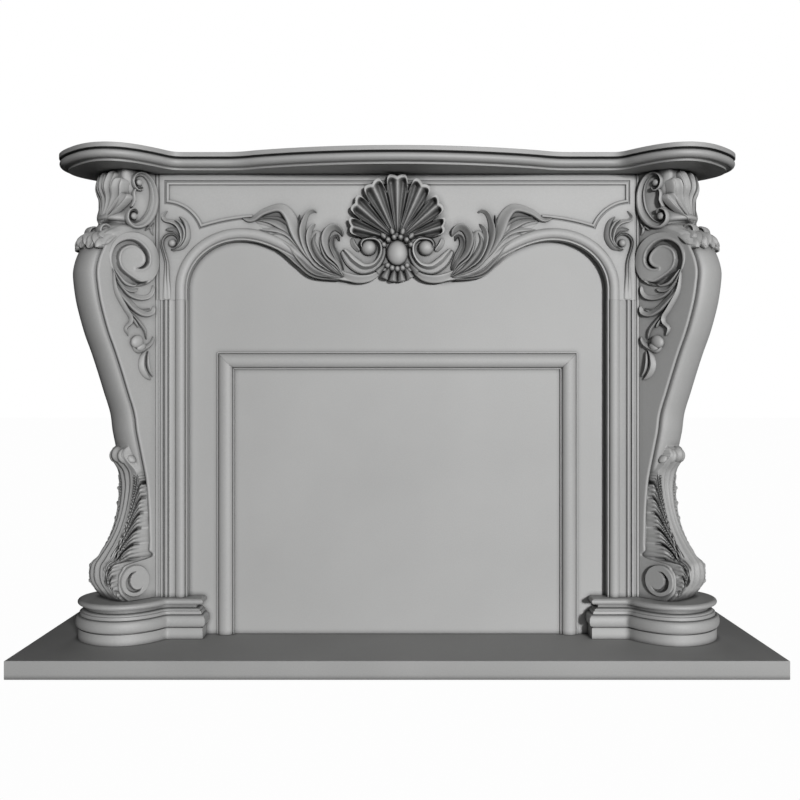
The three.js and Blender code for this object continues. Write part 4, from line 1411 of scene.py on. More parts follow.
    def shell(self, shape: Shape) -> None:
        """Adds the scallop shell as a fan of seven lobes with two flutes each.

        In the polar grid round the hinge, a lobe's outline has a bulge at each flute and a
        notch between lobes. Its height is a deep V between lobes, two hollow flutes and a rib,
        and rises to a lip at the rim that rolls over and is cut back underneath.

        Args:
            shape: Where it is added.
        """
        share = np.linspace(0, 1, self.shell_lobes * self.lobe_steps + 1)
        angle = math.pi / 2 + math.radians(self.shell_spread) * (share - 0.5)
        within = (share * self.shell_lobes) % 1.0
        side = np.minimum(within, 1 - within)
        bulge = np.abs(np.sin(2 * math.pi * within))
        reach = self.shell_radius * (1 - 0.3 * np.abs(2 * share - 1) ** 1.7)
        notch = np.exp(-((side / 0.1) ** 2))
        outline = reach * (0.955 + 0.045 * bulge) * (1 - 0.19 * notch)
        rho = np.concatenate([np.linspace(0.13, 0.86, 14), np.linspace(0.88, 0.985, 14)])
        flute = np.sin(2 * math.pi * within) ** 2
        lip = smooth_step((rho - 0.915) / 0.035)
        body = 0.3 + 0.62 * smooth_step(rho / 0.9)
        hollow = (0.12 + 0.62 * smooth_step(rho / 0.85)) * (1 - lip * 0.94)
        deep = 0.78 * (1 - 0.4 * smooth_step((rho - 0.92) / 0.05))
        valley = np.exp(-((side / 0.06) ** 2))
        height = self.shell_relief * (body[:, None] - np.outer(hollow, flute) - np.outer(deep, valley))
        height += self.shell_relief * 0.08 * lip[:, None]
        height = np.maximum(height, 1.5)
        rim = np.array([(0.992, 1.0), (1.0, 0.9), (0.998, 0.72), (0.975, 0.6), (0.93, 0.5), (0.9, 0.0)])
        turned = rim[:, 1:] * height[-1]
        turned[-1] = -0.8
        proud = np.vstack([height, turned])
        radius = np.concatenate([rho, rim[:, 0]])[:, None] * outline
        flat = radius.copy()
        flat[-len(rim):] = np.linspace(0.86, 0.9, len(rim))[:, None] * outline
        place = on_front(SETTING.face_y + self.sunk)
        front = place(radius * np.cos(angle), self.hinge_z + radius * np.sin(angle), proud)
        back = place(flat * np.cos(angle), self.hinge_z + flat * np.sin(angle), np.full_like(proud, -0.9))
        shape.sheet(front, back)

    def egg_cluster(self, shape: Shape) -> None:
        """Adds the egg, the drops above it, and the beads and tongues below.

        Args:
            shape: Where they are added.
        """
        place = on_front(SETTING.face_y + self.sunk)
        halves = (self.egg[0] / 2, self.egg[1] / 2)
        boss(shape, place, (0.0, self.egg_z), halves, self.egg_relief, base=0.25)

        def polar(radius: float, degrees: float) -> tuple[float, float]:
            """A point at a distance from the middle of the egg, its angle upwards from the right."""
            turn = math.radians(degrees)
            return radius * math.cos(turn), self.egg_z + radius * math.sin(turn)

        bead = (6.8, 6.8)
        for degrees in (50, 76, 104, 130):
            drop = [polar(radius, degrees) for radius in (40, 49, 60)]
            carve(shape, place, [Band(drop, (9, 14, 8), (19, 21, 16), ends=(0.3, 0.35), rows=16, columns=11)])
        for degrees in np.linspace(30, 150, 6):
            boss(shape, place, polar(36, degrees), bead, 25)
        for degrees in np.linspace(-137, -43, 6):
            tongue = [polar(radius, degrees) for radius in (38, 52, 66)]
            carve(shape, place, [
                Band(tongue, (9, 15, 19), (10, 13, 13), KEEL, (0.05, 0.1), 22, 13, 7.0),
            ])
        for degrees in np.linspace(-128, -52, 5):
            boss(shape, place, polar(36.5, degrees), bead, 18)

    def scrolls(self) -> list[Band]:
        """Scroll beside the egg, the crescent under it, and the leaf behind its ball.

        Returns:
            The bands, drawn from the middle of the egg.
        """
        path = [(-127, 8), (-116, -7), (-103, -22), (-79, -36), (-52, -30), (-35, -6), (-35, 20), (-51, 34),
                (-75, 32), (-85, 20), (-80, 5)]
        crescent = [(-143, -36), (-121, -51), (-93, -59), (-63, -56), (-38, -42)]
        return [
            Band(crescent, (6, 17, 19, 16, 7), (8, 10, 11, 10, 8), LEAN, (0.1, 0.1), 48, 13, 7.0),
            Band(path, (16, 28, 31, 25, 20, 17, 15, 12, 9, 7), (12, 15, 17, 18, 19, 21, 21, 21, 20, 19),
                 SCROLL, (0.02, 0.04), 110, 21),
            Band([(-106, 36), (-101, 20), (-88, 4)], (10, 13, 9), (8, 11, 9), LEAN, (0.2, 0.1), 20),
        ]

    def spray(self) -> list[Band]:
        """Leaves beside the cartouche, from the back to the front.

        Returns:
            The bands, drawn from the middle of the egg.
        """
        root = (-124, -55)
        return [
            Band([(-128, -58), (-170, -38), (-212, 2), (-238, 46), (-262, 84)], (10, 34, 50, 52, 20),
                 (5, 6, 7, 7, 5), ROUND, (0.05, 0.15)),
            Band([(-128, -52), (-158, -24), (-182, 12), (-190, 54)], (8, 30, 46, 28), (6, 8, 8, 6),
                 ROUND, (0.05, 0.15)),
            Band([(-150, -50), (-206, -20), (-250, 18), (-304, 52)], (8, 20, 34, 14), (4, 5, 5, 4),
                 ROUND, (0.05, 0.15)),
            Band([(-215, 20), (-238, 52), (-262, 74), (-296, 84), (-335, 80)], (10, 30, 44, 30, 5),
                 (6, 10, 12, 10, 6), HOLLOW, (0.05, 0.08), 44, 17),
            Band([(-222, 22), (-246, 58), (-274, 80), (-318, 84)], (4, 10, 11, 4), (8, 13, 13, 7),
                 KEEL, (0.05, 0.1)),
            Band([(-150, -50), (-204, -9), (-232, 23), (-253, 44), (-280, 54), (-324, 56)],
                 (6, 13, 16, 17, 15, 4), (8, 11, 11, 10, 9, 5), LEAN, (0.05, 0.08)),
            Band([root, (-187, -42), (-220, -10), (-243, 22), (-276, 38), (-306, 34)], (6, 16, 24, 28, 23, 6),
                 (10, 14, 15, 15, 13, 7), HOLLOW, (0.05, 0.08), 50, 17),
            Band([(-132, -60), (-193, -48), (-225, -23), (-253, 0), (-284, 15)], (6, 14, 18, 18, 5),
                 (6, 9, 10, 10, 6), HOLLOW, (0.05, 0.1)),
            Band([root, (-162, -42), (-203, -9), (-230, 35), (-248, 82), (-271, 104), (-310, 95), (-338, 77),
                  (-360, 82)],
                 (4, 10, 14, 21, 29, 28, 20, 15, 8), (6, 11, 14, 17, 19, 18, 16, 14, 10), LEAN, (0.03, 0.05),
                 80, 15),
            Band([root, (-188, -28), (-215, 3), (-228, 39), (-227, 90)], (4, 8, 11, 12, 4),
                 (6, 11, 12, 12, 8), KEEL, (0.04, 0.1)),
            Band([root, (-179, -33), (-206, 3), (-220, 49), (-211, 87), (-197, 98), (-187, 94)],
                 (4, 10, 16, 20, 18, 11, 6), (7, 12, 15, 16, 16, 14, 10), LEAN, (0.03, 0.06), 60, 15),
            Band([(-150, -44), (-186, -15), (-203, 22), (-203, 52), (-190, 68)], (5, 12, 15, 15, 5),
                 (9, 14, 15, 14, 9), LEAN, (0.04, 0.08)),
            Band([root, (-153, -36), (-182, -4), (-194, 25), (-187, 50)], (4, 14, 20, 19, 4),
                 (9, 14, 15, 14, 8), KEEL, (0.04, 0.08)),
            Band([root, (-142, -32), (-167, -9), (-178, 25), (-174, 52)], (3, 7, 9, 9, 3), (8, 13, 15, 14, 8),
                 ROUND, (0.04, 0.1)),
            Band([root, (-137, -25), (-159, 0), (-168, 30), (-160, 52), (-145, 60), (-131, 51), (-127, 39)],
                 (4, 9, 14, 17, 19, 18, 15, 9), (8, 13, 16, 18, 21, 22, 20, 15), LEAN, (0.03, 0.1), 60, 15),
            Band([(-125, -39), (-139, -9), (-151, 18), (-148, 36), (-139, 40), (-134, 28)],
                 (4, 12, 15, 13, 9, 5), (8, 12, 14, 15, 13, 9), HOLLOW, (0.04, 0.1)),
        ]

    def spandrel(self) -> list[Band]:
        """Stem, volute and leaves in the spandrel.

        Returns:
            The bands, drawn from the eye of the volute.
        """
        foot = SETTING.frieze_foot - self.egg_z - self.eye_up
        stem = [(-14, foot), (-14, -80), (-14, -43), (-24, -2), (-17, 16), (-1, 22), (13, 14), (16, -1),
                (8, -14), (-4, -15)]
        leaf_one = [(5, -16), (22, -8), (33, 12), (33, 33), (27, 50), (15, 62)]
        leaf_two = [(8, -15), (24, 3), (22, 27), (12, 43), (-2, 50), (-16, 53), (-22, 62), (-12, 75)]
        leaf_three = [(18, -6), (21, 7), (12, 24), (1, 32), (-17, 31)]
        return [
            Band(leaf_three, (5, 10, 12, 11, 4), (7, 10, 11, 10, 6), HOLLOW, (0.05, 0.1)),
            Band(leaf_one, (5, 13, 16, 15, 12, 4), (8, 11, 12, 12, 10, 6), KEEL, (0.05, 0.1)),
            Band(leaf_two, (5, 11, 13, 14, 13, 10, 7, 3), (9, 13, 14, 14, 13, 11, 9, 6), LEAN,
                 (0.04, 0.08), 64),
            Band([(14, -12), (27, 8), (28, 28), (18, 46), (4, 54)], (4, 7, 8, 8, 3), (9, 13, 14, 13, 8),
                 ROUND, (0.05, 0.1)),
            Band(stem, (19, 18, 15, 12, 9, 8, 8, 8, 7, 7, 6), (1.6, 3, 6, 8, 10, 11, 11, 11, 11, 10),
                 TWIN, (0.0, 0.05), 90, 15),
        ]

    def build(self) -> None:
        """Joins the slab, the mouldings and the carving of both halves in one piece."""
        shape = Shape()
        self.slab(shape)
        self.mouldings(shape)
        self.shell(shape)
        ground = shifted(on_front(SETTING.face_y + self.sunk), (0.0, self.egg_z))
        face = on_front(SETTING.face_y)
        eye = (-SETTING.half_opening - self.eye_aside, self.egg_z + self.eye_up)
        lifted = [replace(leaf, heights=[self.leaf_lift * h for h in leaf.heights]) for leaf in self.spray()]
        left = Shape()
        carve(left, ground, [*lifted, *self.scrolls()])
        boss(left, ground, self.ball, (18.5, 18.5), 24, base=0.2)
        carve(left, shifted(face, eye), self.spandrel())
        boss(left, face, eye, (9.5, 9.5), 13, base=0.2)
        shape.merge(left).merge(left.mirrored())
        self.egg_cluster(shape)
        settle(shape, "carved_frieze", CARVED, ["frieze"])


def signed_area(points: Array) -> float:
    """Area of a plane loop, positive where it turns to the left."""
    x, y = points[:, 0], points[:, 1]
    return float(np.sum(x * np.roll(y, -1) - np.roll(x, -1) * y) / 2)


# Consoles


# The console as it is drawn: its height, then lines of its reach, s, at a height, z.
DRAWN_HEIGHT = 981.0
EDGE_LINE = [
    (0, 70), (12, 82), (44, 91), (70, 83), (84, 64), (92, 16), (110, 13), (160, 13), (199, 14), (241, 17),
    (277, 21), (316, 29), (352, 37), (384, 44), (423, 49.5), (477, 67), (528, 84), (570, 99), (608, 114),
    (646, 126), (676, 134), (714, 140.6), (744, 143), (767, 139), (791, 130), (812, 118), (830, 92.5),
    (840, 66), (981, 66),
]
CROWN_LINE = [
    (0, 88), (24, 105), (44, 117), (65, 119.5), (84, 115), (97, 105), (124, 84), (157, 64.5), (191, 52),
    (225, 44.5), (272, 42), (295, 48), (312, 61), (328, 70), (344, 63), (364, 50), (384, 53), (423, 58.5),
    (477, 76), (528, 93), (608, 123), (676, 143), (744, 152), (785, 152), (812, 148), (833, 140),
    (852, 131), (870, 117), (902, 96), (922, 96), (940, 105), (981, 100),
]
FAN_LINE = [(848, 102), (870, 101), (902, 93), (922, 93), (940, 100), (981, 93)]
# Middle lines of the grooves in the volute and in the disc at the foot, as [s, z].
VOLUTE_LINE = [
    (22, 730), (42, 722), (70, 731), (92, 748), (101, 772), (95, 797), (77, 812), (57, 816), (40, 809),
    (26, 793), (24, 775), (34, 762), (50, 757),
]
CRESCENT_LINE = [(50, 67), (65, 62), (74, 47), (70, 32), (58, 23), (45, 23), (36, 31)]
# Section of a rolled leaf end, as [v, radius].
ROLL_PROFILE = [
    (-14.5, 0.6), (-14.5, 3.5), (-12.5, 5.2), (-9.5, 6.6), (-9.5, 9.5), (-12.5, 11.5), (-13.5, 13.5),
    (-12.5, 15.4), (-9, 16.6), (0, 17.0), (9, 16.6), (12.5, 15.4), (13.5, 13.5), (12.5, 11.5),
    (9.5, 9.5), (9.5, 6.6), (12.5, 5.2), (14.5, 3.5), (14.5, 0.6),
]


@dataclass
class Console:
    """A scroll console on a cut corner, with its volutes, leaves and palmette.

    Its own axes are s, out from the cut corner, v, across, and z, up from the plinth. Lines and
    leaves are drawn at the size of the frame's console.
    """

    width: float = 120.0
    roll_edge: float = 0.75
    bead_edge: float = 0.85
    bead_relief: float = 4.6
    quirk: float = 7.5
    roll_extra: float = 11.0
    volute_centre: tuple[float, float] = (55.0, 778.0)
    volute_radius: float = 62.0
    volute_rise: float = 7.0
    volute_depth: float = 10.0
    roll_centre: tuple[float, float] = (111.0, 839.0)
    roll_aside: float = 26.0
    foot_centre: tuple[float, float] = (55.0, 45.0)
    foot_radius: float = 35.5
    foot_rise: float = 8.0
    knob_centre: tuple[float, float] = (59.0, 331.0)
    knob_bend: tuple[float, float] = (16.0, 14.0)
    knob_radius: float = 16.0
    knob_half: float = 43.0
    lobe_spacing: float = 35.0
    fan_fall: float = 24.0

    @property
    def height(self) -> float:
        """Height of the console."""
        return SETTING.order_top - SETTING.jamb_foot

    def raised(self, drawn: Array) -> Array:
        """Turns heights as drawn into the console's own."""
        return drawn / DRAWN_HEIGHT * self.height

    def in_space(self, s: Array, v: Array, z: Array) -> Array:
        """Turns the left console's own axes into the frame's.

        The corner faces front left, so s runs along (-1, -1) and v along (1, -1), each over
        the root of two.

        Args:
            s: Reach from the cut corner.
            v: Place across.
            z: Height over the jamb's foot.

        Returns:
            The points, along a new last axis.
        """
        middle = SETTING.corner_middle
        x = -middle[0] + (v - s) * DIAGONAL
        y = middle[1] - (v + s) * DIAGONAL
        return np.stack(np.broadcast_arrays(x, y, z + SETTING.jamb_foot), axis=-1)

    def on_side(self, side: int) -> Place:
        """The flat side face, read as (s, z, proud); side 1 looks towards the opening."""
        return lambda a, b, proud: self.in_space(a, side * (self.width / 2 + proud), b)

    def plain_front(self, z: Array, v: Array) -> Array:
        """Reach of the front without its leaves: a middle roll, quirks and a bead on each edge.

        The roll is half an ellipse over the middle, the bead half an ellipse on each edge.

        Args:
            z: Heights.
            v: Places across, from -1 to 1.

        Returns:
            Reach at each place.
        """
        edge = read_line(EDGE_LINE, z)
        swell = np.clip(read_line(CROWN_LINE, z) - edge, 1, 9) + self.roll_extra
        aside = np.abs(v)
        roll = swell * np.sqrt(np.clip(1 - (aside / self.roll_edge) ** 2, 0, 1))
        middle = (self.bead_edge + 1) / 2
        half = (1 - self.bead_edge) / 2
        bead = self.bead_relief * np.sqrt(np.clip(1 - ((aside - middle) / half) ** 2, 0, 1))
        floor = np.where((aside > self.roll_edge) & (aside < self.bead_edge), -self.quirk, 0.0)
        return edge - 3.4 * (aside >= self.bead_edge) + floor + roll + bead

    def leafed_front(self, z: Array, v: Array) -> Array:
        """Reach of the front where a leaf or the palmette lies: one dome from edge to edge.

        Args:
            z: Heights.
            v: Places across, from -1 to 1.

        Returns:
            Reach at each place.
        """
        edge = read_line(EDGE_LINE, z)
        dip = 28 * np.exp(-(((z - 853) / 17) ** 2)) + 13 * smooth_step((z - 872) / 20)
        behind = dip * smooth_step((1 - np.abs(v)) / 0.3)
        crown = np.maximum(read_line(CROWN_LINE, z) - behind, edge + 1)
        dome = np.clip(1 - np.abs(v) ** 2.4, 0, 1) ** 0.6
        return edge + (crown - edge) * dome

    def body(self) -> Shape:
        """The whole body as rings, one at each height, with the carving of its front.

        At a height z and a place u, from -1 to 1 across, the plain front and the domed leaf
        are mixed by how much leaf lies there, and the relief is added along the surface's normal.

        Returns:
            The body.
        """
        drawn = np.concatenate([
            np.linspace(SETTING.joint, 350, 212), np.linspace(355, 735, 66),
            np.linspace(738, DRAWN_HEIGHT, 122),
        ])
        z = self.raised(drawn)
        u = np.linspace(-1, 1, 105)
        v = np.sign(u) * (1 - (1 - np.abs(u)) ** 1.35)
        zz, vv = np.meshgrid(drawn, v, indexing="ij")
        palmette_cover = smooth_step((zz - 852) / 10)
        cover = np.maximum.reduce([self.foot_cover(zz, vv), self.shoulder_cover(zz, vv), palmette_cover])
        reach = np.maximum(self.plain_front(zz, vv), 0) * (1 - cover) + self.leafed_front(zz, vv) * cover
        half = self.width / 2
        base = np.stack([reach, vv * half, zz], axis=-1)
        along = np.gradient(base, axis=0)
        across = np.gradient(base, axis=1)
        normal = np.cross(across, along)
        normal /= np.linalg.norm(normal, axis=-1, keepdims=True) + 1e-9
        outward = normal * np.sign(normal[..., 0:1] + 1e-9)
        relief = self.foot_relief(zz, vv) + self.shoulder_relief(zz, vv)
        relief *= smooth_step((1 - np.abs(vv)) / 0.014)
        moved = base + outward * relief[..., None]
        s = np.maximum(moved[..., 0], 2.0)
        side = np.clip(moved[..., 1], -half, half)
        height = self.raised(np.clip(moved[..., 2], drawn[0], DRAWN_HEIGHT))
        front = np.stack([s, side, height], axis=-1)
        front[0, :, 2] = z[0]
        front[-1, :, 2] = z[-1]
        left, right = self.flank(front[:, 0], -half), self.flank(front[:, -1], half)
        rings = np.concatenate([left[:, ::-1], front, right], axis=1)
        return Shape().loft(self.in_space(rings[..., 0], rings[..., 1], rings[..., 2]))

    def flank(self, edge: Array, across_at: float) -> Array:
        """Columns of a side face, from the front's edge to the corner, with its volute's pocket.

        The pocket's half length at a height is that of a circle. Away from it the columns lie
        together.

        Args:
            edge: The front's edge as rows of (s, v, z).
            across_at: v of the side face, in millimetres.

        Returns:
            Points in the shape (rows, columns, 3).
        """
        middle, level = self.volute_centre
        drawn = edge[:, 2] / self.height * DRAWN_HEIGHT
        half = np.sqrt(np.clip((self.volute_radius - 3) ** 2 - (drawn - level) ** 2, 0, None))
        depth = np.where(half > 0, self.volute_depth, 0.0) * np.sign(across_at)
        wall = np.full_like(half, SETTING.joint)
        near = np.maximum(edge[:, 0] - 1.5, SETTING.joint + 0.5)
        start = np.minimum(middle + half, near - 0.2)
        end = np.minimum(np.maximum(middle - half, SETTING.joint + 0.2), start - 0.05)
        out = np.column_stack([near, start, start - 0.02, end + 0.02, end, wall])
        across = across_at - depth[:, None] * np.array([0, 0, 1, 1, 0, 0])
        return np.stack([out, across, np.broadcast_to(edge[:, 2, None], out.shape)], axis=-1)

    def fan_front(self, z: Array, v: Array) -> Array:
        """The dish that carries the palmette: its middle line, less a fall by the square of v."""
        return read_line(FAN_LINE, z) - self.fan_fall * v**2

    def on_reach(self, reach: Callable[[Array, Array], Array]) -> Place:
        """A surface across the front, read as (across, z, proud).

        Args:
            reach: Gives the surface's reach from heights and places across.

        Returns:
            The surface, with its relief added outwards.
        """

        def place(a: Array, b: Array, proud: Array) -> Array:
            """Adds the relief to the reach, at heights held a little under the top."""
            z = np.minimum(b, DRAWN_HEIGHT - 1)
            return self.in_space(reach(z, a * 2 / self.width) + proud, a, self.raised(z))

        return place

    def blades(self) -> list[Band]:
        """Seven hollow blades of the palmette, from the outer ones to the middle one.

        Returns:
            The bands, drawn as (across, z).
        """
        ends = (0.02, 0.1)
        pairs = [
            ([(8, 860), (28, 884), (47, 908), (59, 925)], (6, 13, 18, 15), 8.0),
            ([(6, 860), (24, 892), (41, 927), (52, 961)], (6, 14, 20, 19), 12.0),
            ([(4, 859), (13, 898), (24, 938), (33, 979)], (7, 14, 20, 21), 16.0),
        ]
        sides = [
            Band([(side * a, b) for a, b in line], widths, (6, 11, 14, 15), HOLLOW, ends, 34, 15, sunk)
            for line, widths, sunk in pairs
            for side in (-1, 1)
        ]
        middle = [(0, 856), (0, 900), (0, 940), (0, 980)]
        return [*sides, Band(middle, (8, 15, 20, 22), (6, 9, 11, 12), HOLLOW, ends, 34, 15, 16.0)]

    def tongues(self) -> list[Band]:
        """Ragged tongues of the leaf over the shoulder, with short ones between and over them.

        Returns:
            The bands, drawn as (across, z).
        """
        low = [
            Band([(0.45 * a, 846), (0.75 * a, 828), (a, 811), (1.06 * a, foot)], (12, 21, 25, 14),
                 (2, 5, 7, 7), HOLLOW, (0.05, 0.2), 26, 13, 3.0)
            for a, foot in ((-56, 803), (-29, 796), (0, 799), (29, 796), (56, 803))
        ]
        between = [
            Band([(0.5 * a, 842), (0.8 * a, 826), (a, 812), (1.08 * a, 805)], (8, 13, 13, 6),
                 (4, 8, 9, 7), KEEL, (0.05, 0.25), 22, 11, 3.0)
            for a in (-43, -14, 15, 43)
        ]
        over = [
            Band([(0.4 * a, 850), (0.9 * a, 840), (1.2 * a, 827), (1.5 * a, 819)], (10, 15, 14, 6),
                 (7, 11, 12, 9), LEAN, (0.05, 0.25), 24, 13, 4.0)
            for a in (-36, 36)
        ]
        return low + between + over

    def foot_cover(self, z: Array, v: Array) -> Array:
        """Where the foot leaf lies: broad at the foot, narrow at its curled tip."""
        half = read_line([(0, 0.87), (235, 0.87), (262, 0.86), (290, 0.74), (318, 0.62), (350, 0.5)], z)
        return smooth_step((half - np.abs(v)) / 0.03) * smooth_step((352 - z) / 8)

    def foot_relief(self, z: Array, v: Array) -> Array:
        """Stems and side lobes of the foot leaf.

        Side lobes follow z = c - d (1 - w)^2.2, with w the share from the stems to the edge,
        so they leave the stems steeply and reach the margin level, where each ends in a knuckle.
        The stems are ribs that follow a cosine of v.

        Args:
            z: Heights.
            v: Places across, from -1 to 1.

        Returns:
            Relief at each place.
        """
        aside = np.abs(v)
        stem = read_line([(0, 0.62), (60, 0.5), (130, 0.36), (230, 0.36), (300, 0.5), (350, 0.55)], z)
        w = np.clip((aside - stem) / (0.86 - stem), 0, 1)
        spacing = self.lobe_spacing
        lobe = (z + 150 * (1 - w) ** 2.2 - 92) / spacing
        part = lobe - np.floor(lobe)
        swell = 3.5 * (1 - np.abs(2 * part - 1) ** 2)
        split = -13.0 * np.exp(-((np.minimum(part, 1 - part) * spacing / 3.4) ** 2))
        veins = -4.8 * sum(np.exp(-(((part - at) * spacing / 2.0) ** 2)) for at in (0.36, 0.66))
        side = (swell + split + veins - 1.5) * smooth_step(w / 0.2)
        ribs = (3.4 * np.cos(aside / stem * math.pi * 2.5) - 2.0) * smooth_step((stem - aside) / 0.12)
        fade = smooth_step((292 - z) / 24)
        low = smooth_step(z / 30)
        knuckle = 4.0 * np.exp(-(((w - 0.88) / 0.1) ** 2)) * np.sin(math.pi * part) ** 2
        kept = smooth_step((0.87 - aside) / 0.03) * (aside > stem)
        return (side + knuckle) * fade * low * kept + ribs * smooth_step((350 - z) / 20) * low

    def shoulder_cover(self, z: Array, v: Array) -> Array:
        """Where the leaf over the shoulder lies: its lower edge hangs in five scallops."""
        scallop = 805 - 11 * np.abs(np.cos(v * math.pi * 2.5)) + 4 * (1 - np.abs(v))
        return smooth_step((z - scallop) / 5) * smooth_step((878 - z) / 20)

    def shoulder_relief(self, z: Array, v: Array) -> Array:
        """Tongues of the leaf over the shoulder, hollow along their middles.

        Its swell and veins follow cosines of v, its bumps a sine of z and v, and a roll with a
        quirk over it crosses at its top.

        Args:
            z: Heights.
            v: Places across, from -1 to 1.

        Returns:
            Relief at each place.
        """
        cover = self.shoulder_cover(z, v)
        tongue = np.abs(np.cos(v * math.pi * 2.5))
        vein = np.cos(v * math.pi * 10) * 0.8
        swell = 1.0 + 4.5 * (tongue - 0.5) + vein
        roll = 3.0 * np.exp(-(((z - 848) / 7) ** 2)) - 6.0 * np.exp(-(((z - 862) / 5) ** 2))
        bump = 5.0 * np.sin(z / 6.5 + 5 * v) * np.exp(-(((z - 824) / 18) ** 2))
        return cover * (swell * smooth_step((846 - z) / 20) + roll + bump * 0.8)

    def knob(self, shape: Shape) -> None:
        """Adds the curled tip of the foot leaf, a fluted roll that lies across the front.

        Its section is a circle whose radius shrinks towards the ends. The ribs follow the
        cosine of the place across.

        Args:
            shape: Where it is added.
        """
        t = np.sin(np.linspace(-1, 1, 75) * math.pi / 2)
        around = np.linspace(0, 2 * math.pi, 40, endpoint=False)
        radius = self.knob_radius * np.sqrt(np.clip(1 - np.abs(t) ** 2.6, 0.0005, 1))
        ribs = 2.8 * np.cos(t * math.pi * 4) * smooth_step((1 - np.abs(t)) / 0.25)
        out, up = (middle - bend * t * t for middle, bend in zip(self.knob_centre, self.knob_bend))
        ribbed = (radius + ribs)[:, None]
        s = out[:, None] + ribbed * np.cos(around)
        z = up[:, None] + ribbed * np.sin(around)
        shape.loft(self.in_space(s, t[:, None] * self.knob_half, z))

    def rolls(self, shape: Shape) -> None:
        """Adds the two rolled leaf ends at the palmette's root, turned about the line across.

        Each is a wheel with a bead in the middle of its ends and a hollow round the bead.

        Args:
            shape: Where they are added.
        """
        across, radius = np.array(ROLL_PROFILE).T
        s, z = polar_grid(self.roll_centre, radius, 40)
        for middle in (-self.roll_aside, self.roll_aside):
            shape.loft(self.in_space(s, middle + across[:, None], self.raised(z)))

    def volute(self, shape: Shape, side: int) -> None:
        """Adds the disc of the upper volute, which sits in the side's pocket, with a wound groove.

        The disc is a polar grid. It is level with the side at the front and rises towards the
        jamb. The groove has steep walls, and its half width swells from its ends to its middle.

        Args:
            shape: Where it is added.
            side: 1 for the side that looks towards the opening, -1 for the other.
        """
        rho = np.concatenate([[1.0, 1.0, 0.985], np.linspace(0.965, 0.02, 48)])
        a, b = polar_grid(self.volute_centre, self.volute_radius * rho, 144)
        line, _ = curve_through(VOLUTE_LINE, 90)
        apart, share = distance_to_line(a, b, line)
        half_widths = [(0, 1.2), (0.08, 6.5), (0.18, 10.0), (0.34, 9.5), (0.5, 8.0), (0.65, 6.6), (0.82, 5.4),
                       (0.92, 4.2), (1, 1.0)]
        half = read_line(half_widths, share)
        top = 0.6 + self.volute_rise * smooth_step((80 - a) / 80)
        cut = smooth_step((half - apart) / 3.2) * (self.volute_depth + top - 1.4) * np.clip(half / 5.0, 0, 1)
        swell = 1.4 * np.exp(-((apart - half - 2.5) / 2.5) ** 2) * (rho[:, None] < 0.97)
        proud = top + swell - cut * (rho[:, None] < 0.98)
        proud[0] = 0.2 - self.volute_depth
        proud[1] -= 1.2
        shape.dome(self.on_side(side)(a, b, proud))

    def foot_disc(self, shape: Shape, side: int) -> None:
        """Adds the disc at the side of the foot, with a short crescent groove.

        The disc is a polar grid, and the groove's half width swells to its middle.

        Args:
            shape: Where it is added.
            side: 1 for the side that looks towards the opening, -1 for the other.
        """
        rho = np.concatenate([[1.0, 1.0, 0.97], np.linspace(0.93, 0.03, 27)])
        a, b = polar_grid(self.foot_centre, self.foot_radius * rho, 96)
        line, _ = curve_through(CRESCENT_LINE, 60)
        apart, share = distance_to_line(a, b, line)
        half = read_line([(0, 1.0), (0.25, 4.2), (0.5, 6.8), (0.75, 4.2), (1, 1.0)], share)
        cut = smooth_step((half - apart) / 3.0) * np.minimum(half * 2.4, 8.6)
        proud = self.foot_rise - cut * (rho[:, None] < 0.95)
        proud[0] = -1.0
        proud[1] -= 1.4
        shape.dome(self.on_side(side)(a, b, proud))

    def side_bands(self) -> list[Band]:
        """Foliage on the side that looks towards the opening, below the volute.

        Returns:
            The bands, drawn as (s, z).
        """
        return [
            Band([(105, 751), (92, 734), (77, 721), (57, 717), (48, 722)], (3, 6, 8, 7, 3), (4, 7, 7, 6, 4),
                 ROUND, (0.05, 0.15), 28, 9),
            Band([(109, 753), (95, 727), (77, 709), (58, 706), (45, 712)], (4, 8, 10, 9, 4), (5, 8, 9, 8, 5),
                 LEAN, (0.05, 0.12)),
            Band([(100, 727), (71, 700), (45, 691), (22, 694), (10, 706), (8, 722)], (5, 11, 14, 12, 9, 5),
                 (6, 9, 10, 9, 8, 8), LEAN, (0.05, 0.1), 44),
            Band([(98, 716), (80, 688), (58, 668), (33, 662), (14, 668)], (4, 8, 10, 10, 4), (5, 7, 8, 8, 5),
                 HOLLOW, (0.05, 0.1)),
            Band([(105, 731), (95, 704), (73, 682), (53, 665), (30, 655), (11, 659), (5, 675)],
                 (5, 12, 16, 18, 17, 12, 6), (6, 9, 11, 12, 11, 10, 8), LEAN, (0.05, 0.08), 52, 15),
            Band([(107, 746), (100, 705), (79, 668), (64, 646), (65, 632), (77, 619), (70, 602)],
                 (4, 9, 13, 13, 12, 10, 4), (5, 8, 10, 11, 11, 9, 6), KEEL, (0.05, 0.1), 52),
            Band([(65, 657), (41, 634), (28, 617), (24, 596)], (5, 10, 10, 4), (6, 9, 9, 6),
                 LEAN, (0.05, 0.15)),
            Band([(68, 650), (52, 632), (46, 622)], (4, 7, 3), (7, 8, 6), ROUND, (0.1, 0.2), 20, 9),
            Band([(60, 578), (45, 569), (21, 580), (10, 592), (7, 604)], (6, 11, 12, 10, 4), (6, 9, 9, 9, 7),
                 KEEL, (0.1, 0.12)),
            Band([(24, 575), (33, 556), (35, 535), (26, 516), (13, 503)], (5, 14, 19, 17, 4),
                 (5, 8, 9, 8, 5), KEEL, (0.05, 0.08)),
            Band([(20, 570), (22, 548), (18, 527), (8, 510)], (3, 7, 8, 3), (5, 8, 8, 5),
                 ROUND, (0.1, 0.12), 28, 9),
        ]

